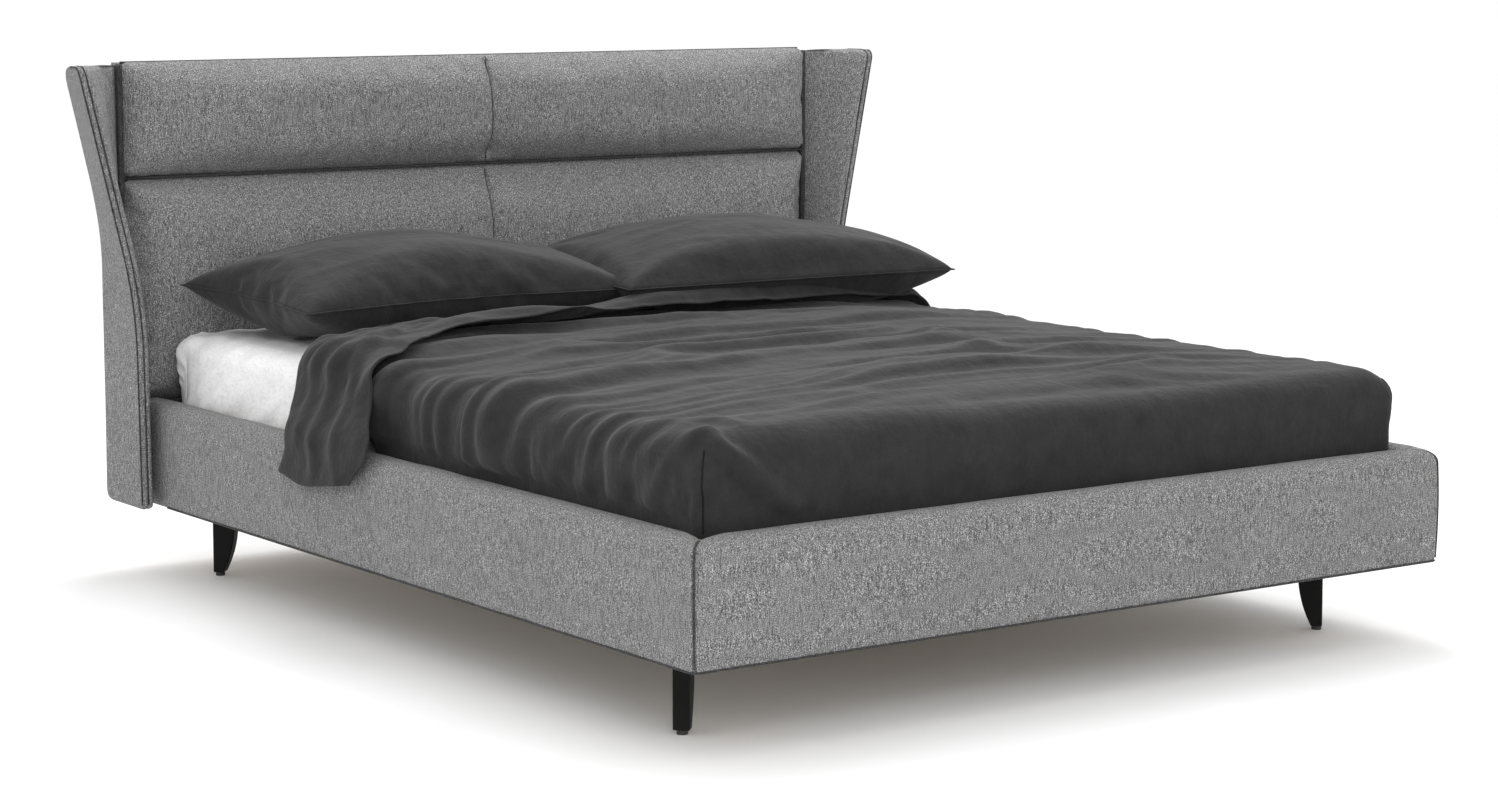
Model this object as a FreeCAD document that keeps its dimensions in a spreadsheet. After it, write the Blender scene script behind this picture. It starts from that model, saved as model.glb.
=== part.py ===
import FreeCAD, Part
import math
import os
import Sketcher

# Upholstered platform bed with a padded headboard between two outward-leaning wings.
# +X is across the bed, +Y points at the headboard and +Z is up. The origin is on the
# floor, at the centre of the bed's overall length and width. All sizes are millimetres.

SIZES = {
    # mattress and bedding
    "mattress_width": 1600, "mattress_length": 2000, "mattress_height": 215,
    "mattress_radius": 45, "side_gap": 20, "foot_gap": 20, "head_gap": 20,
    "mattress_sink": 78, "rest_clearance": 0.5, "sheet_thickness": 2, "sheet_hem_height": 15,
    "duvet_loft": 25, "duvet_skirt": 14, "duvet_clearance": 1, "duvet_length": 1480,
    "duvet_tuck_height": 30, "duvet_radius": 60, "flap_width": 320, "flap_drop": 75,
    "flap_clearance": 4, "flap_head_inset": 150,
    "pillow_width": 780, "pillow_depth": 480, "pillow_height": 175, "pillow_radius": 70,
    "pillow_spacing": 30, "pillow_clearance": 20,
    # rails
    "floor_clearance": 154, "rail_height": 224, "rail_thickness": 60, "rail_foam": 22,
    "rail_top_foam": 12, "rail_bottom_foam": 6, "rail_edge_radius": 11,
    # headboard
    "headboard_height": 1100, "cushion_depth": 48, "cushion_split_height": 852,
    "cushion_seam_gap": 4, "cushion_radius": 20, "cushion_board": 12, "cushion_board_inset": 14,
    "cushion_rail_gap": 6, "core_thickness": 26, "back_thickness": 12, "core_top_inset": 10,
    # wings
    "wing_offset": 50, "wing_thickness": 28, "wing_foam": 8, "wing_projection": 100,
    "wing_rake": 30, "wing_lean": 13.1, "wing_bend_front": 580, "wing_bend_rise": 170,
    "wing_spread": 55, "wing_end_gap": 5, "wing_top_drop": 4, "wing_corner_radius": 28,
    "wing_top_radius": 16, "dowel_radius": 5, "dowel_in_wing": 10, "dowel_in_core": 22,
    # slatted base
    "ledger_width": 40, "ledger_height": 45, "beam_width": 44, "beam_height": 60,
    "slat_width": 64, "slat_thickness": 8, "slat_bow": 10, "slat_end_margin": 90,
    "slat_count": 14, "holder_floor": 5, "holder_depth": 38, "holder_wall": 4, "holder_lip": 5,
    "holder_slack": 0.4, "holder_headroom": 2.4, "cross_rail_thickness": 24, "support_radius": 19,
    "support_plate": 4, "support_plate_size": 70, "support_spacing": 700,
    # legs
    "leg_side_inset": 120, "leg_foot_inset": 210, "leg_head_inset": 206,
    "leg_top_depth": 47, "leg_foot_depth": 22, "leg_width": 30, "leg_curve_radius": 240,
    "leg_edge_radius": 2.5,
    "leg_plate": 3, "leg_plate_size": 84, "leg_board": 22, "leg_board_width": 180,
    "leg_board_length": 250, "glide_height": 8, "glide_radius": 10,
    # fittings
    "bracket_plate": 3, "bracket_reach": 60, "bracket_gap": 3,
    "screw_radius": 2.5, "screw_head_radius": 5, "screw_head": 2.5, "screw_length": 18,
    "screw_clearance": 0.3, "shoe_ear": 24,
}

doc = FreeCAD.newDocument("wing_bed")
sheet = doc.addObject("Spreadsheet::Sheet", "Sizes")
for row, (alias, value) in enumerate(SIZES.items(), start=1):
    sheet.set(f"A{row}", alias)
    sheet.set(f"B{row}", str(value))
    sheet.setAlias(f"B{row}", alias)
doc.recompute()

NODES = []


def size(name):
    """A driving dimension as a plain number, read back from the sheet."""
    return float(sheet.get(name))


def derive(alias, formula):
    """Add a worked-out value to the sheet, so that every part can use its name."""
    row = 1 + len(SIZES) + len(DERIVED)
    DERIVED.append(alias)
    sheet.set(f"A{row}", alias)
    sheet.set(f"B{row}", "=" + formula)
    sheet.setAlias(f"B{row}", alias)
    doc.recompute()


DERIVED = []
# half widths from the bed's centre line
derive("rail_inner", "mattress_width / 2 + side_gap")
derive("rail_outer", "rail_inner + rail_thickness")
derive("wing_inner", "rail_outer + wing_offset - wing_thickness")
derive("cushion_half", "wing_inner - wing_end_gap")
# stations along the bed
derive("overall_length", "rail_thickness + foot_gap + mattress_length + head_gap"
       " + cushion_depth + core_thickness + back_thickness")
derive("foot_face", "-overall_length / 2")
derive("foot_inner", "foot_face + rail_thickness")
derive("mattress_foot", "foot_inner + foot_gap")
derive("mattress_head", "mattress_foot + mattress_length")
derive("cushion_face", "mattress_head + head_gap")
derive("core_front", "cushion_face + cushion_depth")
derive("core_back", "core_front + core_thickness")
derive("cross_front", "core_front - cross_rail_thickness")
# heights from the floor
derive("rail_top", "floor_clearance + rail_height")
derive("slat_top", "rail_top - mattress_sink")
derive("ledger_top", "slat_top - slat_bow - slat_thickness - holder_floor")
derive("mattress_base", "slat_top + rest_clearance")
derive("mattress_top", "mattress_base + mattress_height")
derive("sheet_top", "mattress_top + sheet_thickness")
derive("bracket_base", "floor_clearance + leg_board + bracket_gap")
derive("bracket_height", "ledger_top - ledger_height - bracket_gap - bracket_base")
derive("duvet_inner", "mattress_width / 2 + sheet_thickness + duvet_clearance")
derive("duvet_head", "mattress_foot - sheet_thickness - duvet_clearance + duvet_length")


def bind(thing, **formulas):
    """Bind properties to sheet values; x, y and z are the placement's base."""
    for key, formula in formulas.items():
        target = f"Placement.Base.{key}" if key in ("x", "y", "z") else key
        thing.setExpression(target, named(formula))


def named(formula):
    """Put the sheet's name in front of every alias in a formula."""
    words = set(SIZES) | set(DERIVED)
    parts, word = [], ""
    for letter in formula + " ":
        if letter.isalnum() or letter == "_":
            word += letter
            continue
        parts.append("Sizes." + word if word in words else word)
        parts.append(letter)
        word = ""
    return "".join(parts).strip()


def number(formula):
    """The value of a formula over the sheet's names."""
    result = sheet.evalExpression(named(formula))
    return float(getattr(result, "Value", result))


def box(name, xs, ys, zs):
    """A block between two formulas along each axis."""
    block = doc.addObject("Part::Box", name)
    bind(block, Length=f"({xs[1]}) - ({xs[0]})", Width=f"({ys[1]}) - ({ys[0]})",
         Height=f"({zs[1]}) - ({zs[0]})", x=xs[0], y=ys[0], z=zs[0])
    return block


TURNS = {
    "+Z": FreeCAD.Rotation(),
    "-Z": FreeCAD.Rotation(FreeCAD.Vector(1, 0, 0), 180),
    "+X": FreeCAD.Rotation(FreeCAD.Vector(0, 1, 0), 90),
    "-X": FreeCAD.Rotation(FreeCAD.Vector(0, 1, 0), -90),
    "+Y": FreeCAD.Rotation(FreeCAD.Vector(1, 0, 0), -90),
    "-Y": FreeCAD.Rotation(FreeCAD.Vector(1, 0, 0), 90),
}
STEPS = {"X": (1, 0, 0), "Y": (0, 1, 0), "Z": (0, 0, 1)}


def rod(name, radius, length, place, axis, start="0"):
    """A cylinder from a point, along an axis, that begins a distance along that axis."""
    cylinder = doc.addObject("Part::Cylinder", name)
    cylinder.Placement = FreeCAD.Placement(FreeCAD.Vector(), TURNS[axis])
    sign = axis[0]
    step = STEPS[axis[1]]
    spot = [f"({formula}) {sign} {share} * ({start})" for formula, share in zip(place, step)]
    bind(cylinder, Radius=radius, Height=length, x=spot[0], y=spot[1], z=spot[2])
    return cylinder


def cut(name, base, tools):
    """Base minus one tool or several."""
    tool = tools[0]
    if len(tools) > 1:
        tool = join(name + "_tools", tools)
    result = doc.addObject("Part::Cut", name)
    result.Base = base
    result.Tool = tool
    return result


def join(name, shapes):
    result = doc.addObject("Part::MultiFuse", name)
    result.Shapes = shapes
    return result


def group(name, shapes):
    """Separate solids that share one node."""
    result = doc.addObject("Part::Compound", name)
    result.Links = shapes
    return result


def mirror(name, source):
    result = doc.addObject("Part::Mirroring", name)
    result.Source = source
    result.Normal = (1, 0, 0)
    return result


def node(thing, label):
    """Mark an object as a sub-part: its label names its file."""
    thing.Label = label
    NODES.append(thing)
    return thing


def origin_plane(body, role):
    return next(part for part in body.Origin.OriginFeatures if part.Role == role)


def outline_body(name, role, points, length, midplane=False, arcs=None):
    """A body padded from a closed outline.

    points are pairs of formulas, anticlockwise; arcs maps the number of a side that bulges
    outwards to its radius formula.
    """
    arcs = arcs or {}
    body = doc.addObject("PartDesign::Body", name)
    sketch = body.newObject("Sketcher::SketchObject", name + "_outline")
    sketch.AttachmentSupport = [(origin_plane(body, role), "")]
    sketch.MapMode = "FlatFace"
    corners = [FreeCAD.Vector(number(a), number(b), 0) for a, b in points]
    count = len(corners)
    for side in range(count):
        first, last = corners[side], corners[(side + 1) % count]
        if side in arcs:
            chord = last - first
            radius = number(arcs[side])
            rise = radius - math.sqrt(radius ** 2 - (chord.Length / 2) ** 2)
            across = FreeCAD.Vector(-chord.y, chord.x, 0).normalize()
            middle = (first + last) / 2 - across * rise
            sketch.addGeometry(Part.Arc(first, middle, last))
        else:
            sketch.addGeometry(Part.LineSegment(first, last))
    for side in range(count):
        following = (side + 1) % count
        sketch.addConstraint(Sketcher.Constraint("Coincident", side, 2, following, 1))
    for side in range(count):
        if side in arcs:
            rule = sketch.addConstraint(Sketcher.Constraint("Radius", side, number(arcs[side])))
            sketch.setExpression(f"Constraints[{rule}]", named(arcs[side]))
            continue
        for end, corner in ((1, side), (2, (side + 1) % count)):
            if end == 2 and corner not in arcs:
                continue
            pin_point(sketch, side, end, points[corner])
    pad = body.newObject("PartDesign::Pad", name + "_pad")
    pad.Profile = sketch
    pad.Midplane = midplane
    pad.setExpression("Length", named(length))
    sketch.Visibility = False
    return body, pad


def pin_point(sketch, side, end, formulas):
    """Fix one end of a side from the sketch's origin, by formula."""
    for kind, formula in zip(("DistanceX", "DistanceY"), formulas):
        value = number(formula)
        rule = sketch.addConstraint(Sketcher.Constraint(kind, -1, 1, side, end, value))
        sketch.setExpression(f"Constraints[{rule}]", named(formula))


def edges_where(shape, test):
    """Names of the straight edges whose two ends pass a test."""
    found = []
    for index, edge in enumerate(shape.Edges, start=1):
        ends = [vertex.Point for vertex in edge.Vertexes]
        if len(ends) == 2 and test(*ends):
            found.append(f"Edge{index}")
    return found


def soften(body, feature, label, radius, test):
    """A fillet on the edges of a feature that pass a test."""
    doc.recompute()
    fillet = body.newObject("PartDesign::Fillet", label)
    fillet.Base = (feature, edges_where(feature.Shape, test))
    fillet.setExpression("Radius", named(radius))
    return fillet


def near(first, second):
    return abs(first - second) < 0.001


def rounded_block(name, xs, ys, zs, radius, test=None):
    """A padded block whose edges are rounded, all of them unless a test picks some."""
    corners = [(xs[0], ys[0]), (xs[1], ys[0]), (xs[1], ys[1]), (xs[0], ys[1])]
    body, pad = outline_body(name, "XY_Plane", corners, f"({zs[1]}) - ({zs[0]})")
    body.setExpression("Placement.Base.z", named(zs[0]))
    soften(body, pad, name + "_round", radius, test or (lambda a, b: True))
    return body


def screw(name, place, axis):
    """A screw whose head bears on a face at a point and whose shank runs along an axis."""
    back = {"+": "-", "-": "+"}[axis[0]] + axis[1]
    head = rod(name + "_head", "screw_head_radius", "screw_head", place, back)
    shank = rod(name + "_shank", "screw_radius", "screw_length", place, axis)
    return join(name, [head, shank])


def screw_hole(name, place, axis):
    """The hole that a screw needs in whatever it passes through."""
    return rod(name + "_hole", "screw_radius + screw_clearance",
               "screw_length + screw_clearance", place, axis)


# ---------------------------------------------------------------- wings

LEAN = math.tan(math.radians(size("wing_lean")))
FLARE_STATIONS = 7


def wing_flare(y, z):
    """How far the wing's outer face leans out; the bend line rises towards the back."""
    front = number("cushion_face - wing_projection")
    back = number("core_back + back_thickness")
    share = max(0.0, (y - front) / (back - front))
    start = size("wing_bend_front") + share * size("wing_bend_rise")
    return LEAN * max(0.0, z - start)


def wing_section(z, inset):
    """The wing's plan outline at a height, drawn in by an inset all round."""
    bottom = size("floor_clearance")
    top = number("headboard_height - wing_top_drop")
    rise = (z - bottom) / (top - bottom)
    front = number("cushion_face - wing_projection") + size("wing_rake") * rise
    back = number("core_back + back_thickness")
    inner = number("wing_inner")
    outer = number("rail_outer + wing_offset")
    spread_start = size("wing_bend_front")
    spread = size("wing_spread") * max(0.0, z - spread_start) / (top - spread_start)
    front_outer = outer + wing_flare(front, z)
    points = [
        (front_outer - inset, front + inset),
        (outer + wing_flare(back, z) - inset, back - inset),
        (inner, back - inset),
        (inner, number("core_front")),
        (inner + spread + inset, number("cushion_face")),
        (front_outer - size("wing_thickness") + inset, front + inset),
    ]
    corners = [FreeCAD.Vector(-x, y, z) for x, y in points]
    return Part.makePolygon(corners + corners[:1])


def wing_side(inset):
    """The wing's side outline with rounded corners, as a prism across the wing."""
    low = size("floor_clearance") + inset
    high = number("headboard_height - wing_top_drop") - inset
    front_low = number("cushion_face - wing_projection") - 1 + inset
    front_high = front_low + size("wing_rake")
    back = number("core_back + back_thickness") - inset
    low_radius = size("wing_corner_radius") - inset
    top_radius = size("wing_top_radius") - inset
    turn = math.sqrt(0.5)
    vector = FreeCAD.Vector
    start = vector(0, front_low, low)
    low_start = vector(0, back - low_radius, low)
    low_middle = vector(0, back - low_radius * (1 - turn), low + low_radius * (1 - turn))
    low_end = vector(0, back, low + low_radius)
    back_start = vector(0, back, high - top_radius)
    back_middle = vector(0, back - top_radius * (1 - turn), high - top_radius * (1 - turn))
    back_end = vector(0, back - top_radius, high)
    tip_start = vector(0, front_high + top_radius, high)
    tip_middle = vector(0, front_high + top_radius * (1 - turn), high - top_radius * (1 - turn))
    tip_end = vector(0, front_high, high - top_radius)
    edges = [
        Part.LineSegment(start, low_start), Part.Arc(low_start, low_middle, low_end),
        Part.LineSegment(low_end, back_start), Part.Arc(back_start, back_middle, back_end),
        Part.LineSegment(back_end, tip_start), Part.Arc(tip_start, tip_middle, tip_end),
        Part.LineSegment(tip_end, start),
    ]
    face = Part.Face(Part.Wire([edge.toShape() for edge in edges]))
    reach = 2 * number("rail_outer + wing_offset")
    return face.extrude(vector(-reach, 0, 0))


def wing_form(name, inset):
    """The left wing's solid: a loft up the bend, trimmed to the side outline."""
    bottom = size("floor_clearance")
    top = number("headboard_height - wing_top_drop")
    bend = size("wing_bend_front")
    heights = [bottom + inset, bend]
    for step in range(1, FLARE_STATIONS):
        heights.append(bend + (top - inset - bend) * step / (FLARE_STATIONS - 1))
    loft = Part.makeLoft([wing_section(z, inset) for z in heights], True, True)
    form = doc.addObject("Part::Feature", name)
    form.Shape = loft.common(wing_side(inset))
    return form


def dowels(name, clearance):
    """Wooden pins between the headboard board's ends and the wing boards."""
    pins = []
    for level in range(3):
        height = f"floor_clearance + (headboard_height - floor_clearance) * {2 * level + 1} / 6"
        place = ("wing_inner + dowel_in_wing", "core_front + core_thickness / 2", height)
        for sign, axis in (("", "-X"), ("-", "+X")):
            pins.append(rod(f"{name}_{level}_{axis[1:]}{sign and 'left'}",
                            f"dowel_radius + {clearance}",
                            f"dowel_in_wing + dowel_in_core + 2 * {clearance}",
                            (f"{sign}({place[0]} + {clearance})", place[1], place[2]), axis))
    return pins


def build_wings():
    outer = wing_form("wing_envelope", 0.0)
    board_form = wing_form("wing_board_form", size("wing_foam"))
    doc.recompute()
    left_holes = dowels("wing_hole", "screw_clearance")
    board = cut("wing_board", board_form, left_holes)
    cover = cut("wing_cover", outer, [board_form])
    node(board, "left_wing_board")
    node(cover, "left_wing_cover")
    node(mirror("wing_board_mirror", board), "right_wing_board")
    node(mirror("wing_cover_mirror", cover), "right_wing_cover")
    node(group("wing_dowels", dowels("wing_dowel", "0")), "wing_dowels")


# ---------------------------------------------------------------- headboard

def cushion(name, zs):
    """A padded panel: foam and cover round three sides of a board that fixes it."""
    xs = ("-cushion_half", "cushion_half")
    ys = ("cushion_face", "core_front")
    face = number("cushion_face")
    pad = rounded_block(name + "_pad_form", xs, ys, zs, "cushion_radius",
                        lambda a, b: near(a.y, face) and near(b.y, face))
    board_xs = ("-cushion_half + cushion_board_inset", "cushion_half - cushion_board_inset")
    board_zs = (f"{zs[0]} + cushion_board_inset", f"{zs[1]} - cushion_board_inset")
    board = box(name + "_board", board_xs, ("core_front - cushion_board", "core_front"), board_zs)
    node(cut(name, pad, [board]), f"headboard_{name}")
    node(board, f"{name}_board")


def build_headboard():
    cushion("lower_cushion", ("rail_top + cushion_rail_gap",
                              "cushion_split_height - cushion_seam_gap / 2"))
    cushion("upper_cushion", ("cushion_split_height + cushion_seam_gap / 2", "headboard_height"))
    across = ("-wing_inner", "wing_inner")
    upright = ("floor_clearance", "headboard_height - core_top_inset")
    core = box("core_panel", across, ("core_front", "core_back"), upright)
    node(cut("core_drilled", core, dowels("core_hole", "screw_clearance")), "headboard_core")
    back = box("back_panel", across, ("core_back", "core_back + back_thickness"), upright)
    node(back, "headboard_back_cover")
    cross = box("cross_board", ("-rail_inner", "rail_inner"), ("cross_front", "core_front"),
                ("floor_clearance + rail_bottom_foam", "rail_top - rail_top_foam"))
    return cross


# ---------------------------------------------------------------- rails

CORE_ZS = ("floor_clearance + rail_bottom_foam", "rail_top - rail_top_foam")


def side_core(name):
    return box(name, ("-rail_outer + rail_foam", "-rail_inner"),
               ("foot_face + rail_foam", "core_front"), CORE_ZS)


def foot_core(name):
    return box(name, ("-rail_inner", "rail_inner"),
               ("foot_face + rail_foam", "foot_inner"), CORE_ZS)


def rail_cover(name, points, outer_test):
    """Foam and fabric round a rail, mitred in plan, with softened top edges."""
    body, pad = outline_body(name, "XY_Plane", points, "rail_height")
    body.setExpression("Placement.Base.z", named("floor_clearance"))
    top = size("rail_height")
    soften(body, pad, name + "_round", "rail_edge_radius",
           lambda a, b: near(a.z, top) and near(b.z, top) and outer_test(a, b))
    return body


def build_rails(cross):
    left_form = rail_cover("side_cover_form", [
        ("-rail_outer", "foot_face"), ("-rail_inner", "foot_inner"),
        ("-rail_inner", "core_front"), ("-rail_outer", "core_front")],
        lambda a, b: near(a.x, b.x))
    foot_form = rail_cover("foot_cover_form", [
        ("-rail_outer", "foot_face"), ("rail_outer", "foot_face"),
        ("rail_inner", "foot_inner"), ("-rail_inner", "foot_inner")],
        lambda a, b: near(a.y, b.y))
    left_core = side_core("side_core")
    corner_cores = [side_core("corner_core"), foot_core("foot_core_form")]
    corner_cores.append(mirror("corner_core_mirror", corner_cores[0]))
    left_cover = cut("side_cover", left_form, [side_core("side_cover_hollow")])
    foot_cover = cut("foot_cover", foot_form, corner_cores)
    screws, left_holes, foot_holes, cross_holes = corner_screws()
    beam_screws, beam_foot_holes, beam_head_holes = shoe_screws()
    left_drilled = cut("side_core_drilled", left_core, left_holes)
    foot_drilled = cut("foot_core_drilled", foot_core("foot_core"),
                       foot_holes + beam_foot_holes)
    cross_drilled = cut("cross_board_drilled", cross, cross_holes + beam_head_holes)
    node(left_cover, "left_rail_cover")
    node(mirror("side_cover_mirror", left_cover), "right_rail_cover")
    node(foot_cover, "foot_rail_cover")
    node(left_drilled, "left_rail_core")
    node(mirror("side_core_mirror", left_drilled), "right_rail_core")
    node(foot_drilled, "foot_rail_core")
    node(cross_drilled, "head_cross_rail")
    node(group("corner_screws", screws), "corner_bracket_screws")
    node(group("shoe_screws", beam_screws), "beam_bracket_screws")


# ---------------------------------------------------------------- corner brackets

SIDES = {"left": ("-", "+X", "-X"), "right": ("", "-X", "+X")}
ENDS = {"foot": ("foot_inner", "+", "-Y"), "head": ("cross_front", "-", "+Y")}


def build_brackets():
    """Folded steel angles in the four inner corners."""
    angles = []
    zs = ("bracket_base", "bracket_base + bracket_height")
    for side, (sign, inward, outward) in SIDES.items():
        for end, (station, away, into) in ENDS.items():
            name = f"bracket_{side}_{end}"
            outer_x, inner_x = f"{sign}rail_inner", f"{sign}(rail_inner - bracket_plate)"
            reach_x = f"{sign}(rail_inner - bracket_reach)"
            plate_y = f"{station} {away} bracket_plate"
            reach_y = f"{station} {away} bracket_reach"
            along = box(name + "_along", ordered(outer_x, inner_x), ordered(station, reach_y), zs)
            across = box(name + "_across", ordered(outer_x, reach_x),
                         ordered(station, plate_y), zs)
            plate = join(name + "_plate", [along, across])
            holes = [screw_hole(f"{name}_{index}", *where)
                     for index, where in enumerate(bracket_screws(side, end))]
            angles.append(cut(name, plate, holes))
    node(group("corner_brackets", angles), "corner_brackets")


def ordered(first, second):
    return (first, second) if number(first) <= number(second) else (second, first)


def bracket_screws(side, end):
    """Two screws through each arm of one bracket: places and directions."""
    sign, inward, outward = SIDES[side]
    station, away, into = ENDS[end]
    height = "bracket_base + bracket_height / 2"
    places = []
    for share in ("0.5", "0.82"):
        places.append(((f"{sign}(rail_inner - bracket_plate)",
                        f"{station} {away} {share} * bracket_reach", height), outward))
        places.append(((f"{sign}(rail_inner - {share} * bracket_reach)",
                        f"{station} {away} bracket_plate", height), into))
    return places


def corner_screws():
    """All bracket screws, with the holes that the boards need for them."""
    screws, left_holes, foot_holes, cross_holes = [], [], [], []
    for side in SIDES:
        for end in ENDS:
            for index, (place, axis) in enumerate(bracket_screws(side, end)):
                name = f"corner_{side}_{end}_{index}"
                screws.append(screw(name, place, axis))
                if axis[1] == "Y":
                    holes = foot_holes if end == "foot" else cross_holes
                    holes.append(screw_hole(name + "_board", place, axis))
                elif side == "left":
                    left_holes.append(screw_hole(name + "_board", place, axis))
    return screws, left_holes, foot_holes, cross_holes


# ---------------------------------------------------------------- slatted base

BEAM_ZS = ("ledger_top - beam_height", "ledger_top")
EAR_HALF = "beam_width / 2 + bracket_plate + shoe_ear"


def shoe_places():
    """Two screws in the ears of each beam bracket."""
    places = []
    for end, (station, away, into) in ENDS.items():
        for side in ("-", ""):
            place = (f"{side}(beam_width / 2 + bracket_plate + shoe_ear / 2)",
                     f"{station} {away} bracket_plate", "ledger_top - beam_height / 2")
            places.append((end, side, place, into))
    return places


def shoe_screws():
    screws, foot_holes, head_holes = [], [], []
    for end, side, place, axis in shoe_places():
        name = f"shoe_{end}_{'left' if side else 'right'}"
        screws.append(screw(name, place, axis))
        holes = foot_holes if end == "foot" else head_holes
        holes.append(screw_hole(name + "_board", place, axis))
    return screws, foot_holes, head_holes


def build_beam():
    """The centre beam in its two steel shoes, on two support legs."""
    node(box("beam", ("-beam_width / 2", "beam_width / 2"),
             ("foot_inner + bracket_plate", "cross_front - bracket_plate"), BEAM_ZS),
         "centre_beam")
    shoes = []
    for end, (station, away, into) in ENDS.items():
        name = f"shoe_{end}_form"
        flange = box(name + "_flange", (f"-({EAR_HALF})", EAR_HALF),
                     ordered(station, f"{station} {away} bracket_plate"),
                     (f"{BEAM_ZS[0]} - bracket_plate", BEAM_ZS[1]))
        tray = box(name + "_tray",
                   ("-beam_width / 2 - bracket_plate", "beam_width / 2 + bracket_plate"),
                   ordered(station, f"{station} {away} bracket_reach"),
                   (f"{BEAM_ZS[0]} - bracket_plate", f"{BEAM_ZS[0]} + beam_height / 2"))
        room = box(name + "_room", ("-beam_width / 2", "beam_width / 2"),
                   ordered(f"{station} {away} bracket_plate", f"{station} {away} 2 * bracket_reach"),
                   (BEAM_ZS[0], f"{BEAM_ZS[1]} + bracket_plate"))
        holes = [screw_hole(f"{name}_{side or 'r'}", place, axis)
                 for where, side, place, axis in shoe_places() if where == end]
        shoes.append(cut(name, join(name + "_body", [flange, tray]), [room] + holes))
    node(group("beam_shoes", shoes), "centre_beam_brackets")
    posts, feet = [], []
    for index, sign in enumerate(("-", "")):
        centre = f"(foot_inner + cross_front) / 2 + {sign}support_spacing / 2"
        top = f"{BEAM_ZS[0]}"
        plate = box(f"support_plate_{index}", ("-beam_width / 2", "beam_width / 2"),
                    (f"{centre} - support_plate_size / 2", f"{centre} + support_plate_size / 2"),
                    (f"{top} - support_plate", top))
        post = rod(f"support_post_{index}", "support_radius", f"{top} - support_plate - glide_height",
                   ("0", centre, "glide_height"), "+Z")
        posts.append(join(f"support_{index}", [plate, post]))
        feet.append(rod(f"support_foot_{index}", "support_radius", "glide_height",
                        ("0", centre, "0"), "+Z"))
    node(group("supports", posts), "centre_support_legs")
    node(group("support_feet", feet), "centre_support_glides")


def slat_stations():
    count = int(size("slat_count"))
    first = "foot_inner + slat_end_margin"
    run = "(cross_front - foot_inner - 2 * slat_end_margin)"
    return [f"{first} + {run} * {index} / {count - 1}" for index in range(count)]


SLAT_ENDS = ("holder_wall / 2", "rail_inner - holder_wall")


def build_slats():
    """Bowed slats, each held by a cap on the ledger and a cap on the centre beam."""
    inner, outer = number(SLAT_ENDS[0]), number(SLAT_ENDS[1])
    thick, bow, wide = size("slat_thickness"), size("slat_bow"), size("slat_width")
    low = number("slat_top - slat_bow - slat_thickness")
    vector = FreeCAD.Vector
    middle = (inner + outer) / 2
    under = Part.Arc(vector(inner, 0, low), vector(middle, 0, low + bow), vector(outer, 0, low))
    over = Part.Arc(vector(outer, 0, low + thick), vector(middle, 0, low + thick + bow),
                    vector(inner, 0, low + thick))
    ends = [Part.LineSegment(vector(outer, 0, low), vector(outer, 0, low + thick)),
            Part.LineSegment(vector(inner, 0, low + thick), vector(inner, 0, low))]
    wire = Part.Wire([under.toShape(), ends[0].toShape(), over.toShape(), ends[1].toShape()])
    slat = Part.Face(wire).extrude(vector(0, wide, 0))
    solids = []
    for station in slat_stations():
        solids.append(slat.translated(vector(0, number(station) - wide / 2, 0)))
    slats = doc.addObject("Part::Feature", "slats")
    slats.Shape = Part.makeCompound(solids)
    node(slats, "right_slats")
    node(mirror("slats_mirror", slats), "left_slats")


def build_holders():
    """Plastic slat caps on both ledgers and along the centre beam."""
    side_caps, centre_caps = [], []
    top = "ledger_top + holder_floor + slat_thickness + holder_lip"
    pocket_zs = ("ledger_top + holder_floor", "ledger_top + holder_floor + slat_thickness")
    for index, station in enumerate(slat_stations()):
        half = "slat_width / 2 + holder_slack"
        ys = (f"{station} - ({half} + holder_wall)", f"{station} + {half} + holder_wall")
        inside = (f"{station} - ({half})", f"{station} + {half}")
        slack_zs = (pocket_zs[0], f"{pocket_zs[1]} + holder_headroom")
        cap = box(f"side_cap_{index}", ("rail_inner - holder_depth", "rail_inner"), ys,
                  ("ledger_top", top))
        room = box(f"side_cap_room_{index}",
                   ("rail_inner - 2 * holder_depth", "rail_inner - holder_wall + holder_slack"),
                   inside, slack_zs)
        side_caps.append(cut(f"side_cap_cut_{index}", cap, [room]))
        saddle = box(f"centre_cap_{index}", ("-holder_depth", "holder_depth"), ys,
                     ("ledger_top", top))
        rooms = [box(f"centre_room_{index}_{name}", xs, inside, slack_zs) for name, xs in (
            ("left", ("-2 * holder_depth", "-(holder_wall / 2 - holder_slack)")),
            ("right", ("holder_wall / 2 - holder_slack", "2 * holder_depth")))]
        centre_caps.append(cut(f"centre_cap_cut_{index}", saddle, rooms))
    caps = group("side_caps", side_caps)
    node(caps, "right_slat_holders")
    node(mirror("side_caps_mirror", caps), "left_slat_holders")
    node(group("centre_caps", centre_caps), "centre_slat_holders")


def build_ledgers():
    ledger = box("ledger", ("-rail_inner", "-rail_inner + ledger_width"),
                 ("foot_inner", "cross_front"), ("ledger_top - ledger_height", "ledger_top"))
    node(ledger, "left_ledger")
    node(mirror("ledger_mirror", ledger), "right_ledger")


# ---------------------------------------------------------------- legs

LEG_CORNERS = {
    "front_left": ("-", "foot_face + leg_foot_inset", 45),
    "front_right": ("", "foot_face + leg_foot_inset", 135),
    "rear_left": ("-", "core_back + back_thickness - leg_head_inset", -45),
    "rear_right": ("", "core_back + back_thickness - leg_head_inset", -135),
}


def leg_centre(corner):
    sign, station, angle = LEG_CORNERS[corner]
    return f"{sign}(rail_outer - leg_side_inset)", station


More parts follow.
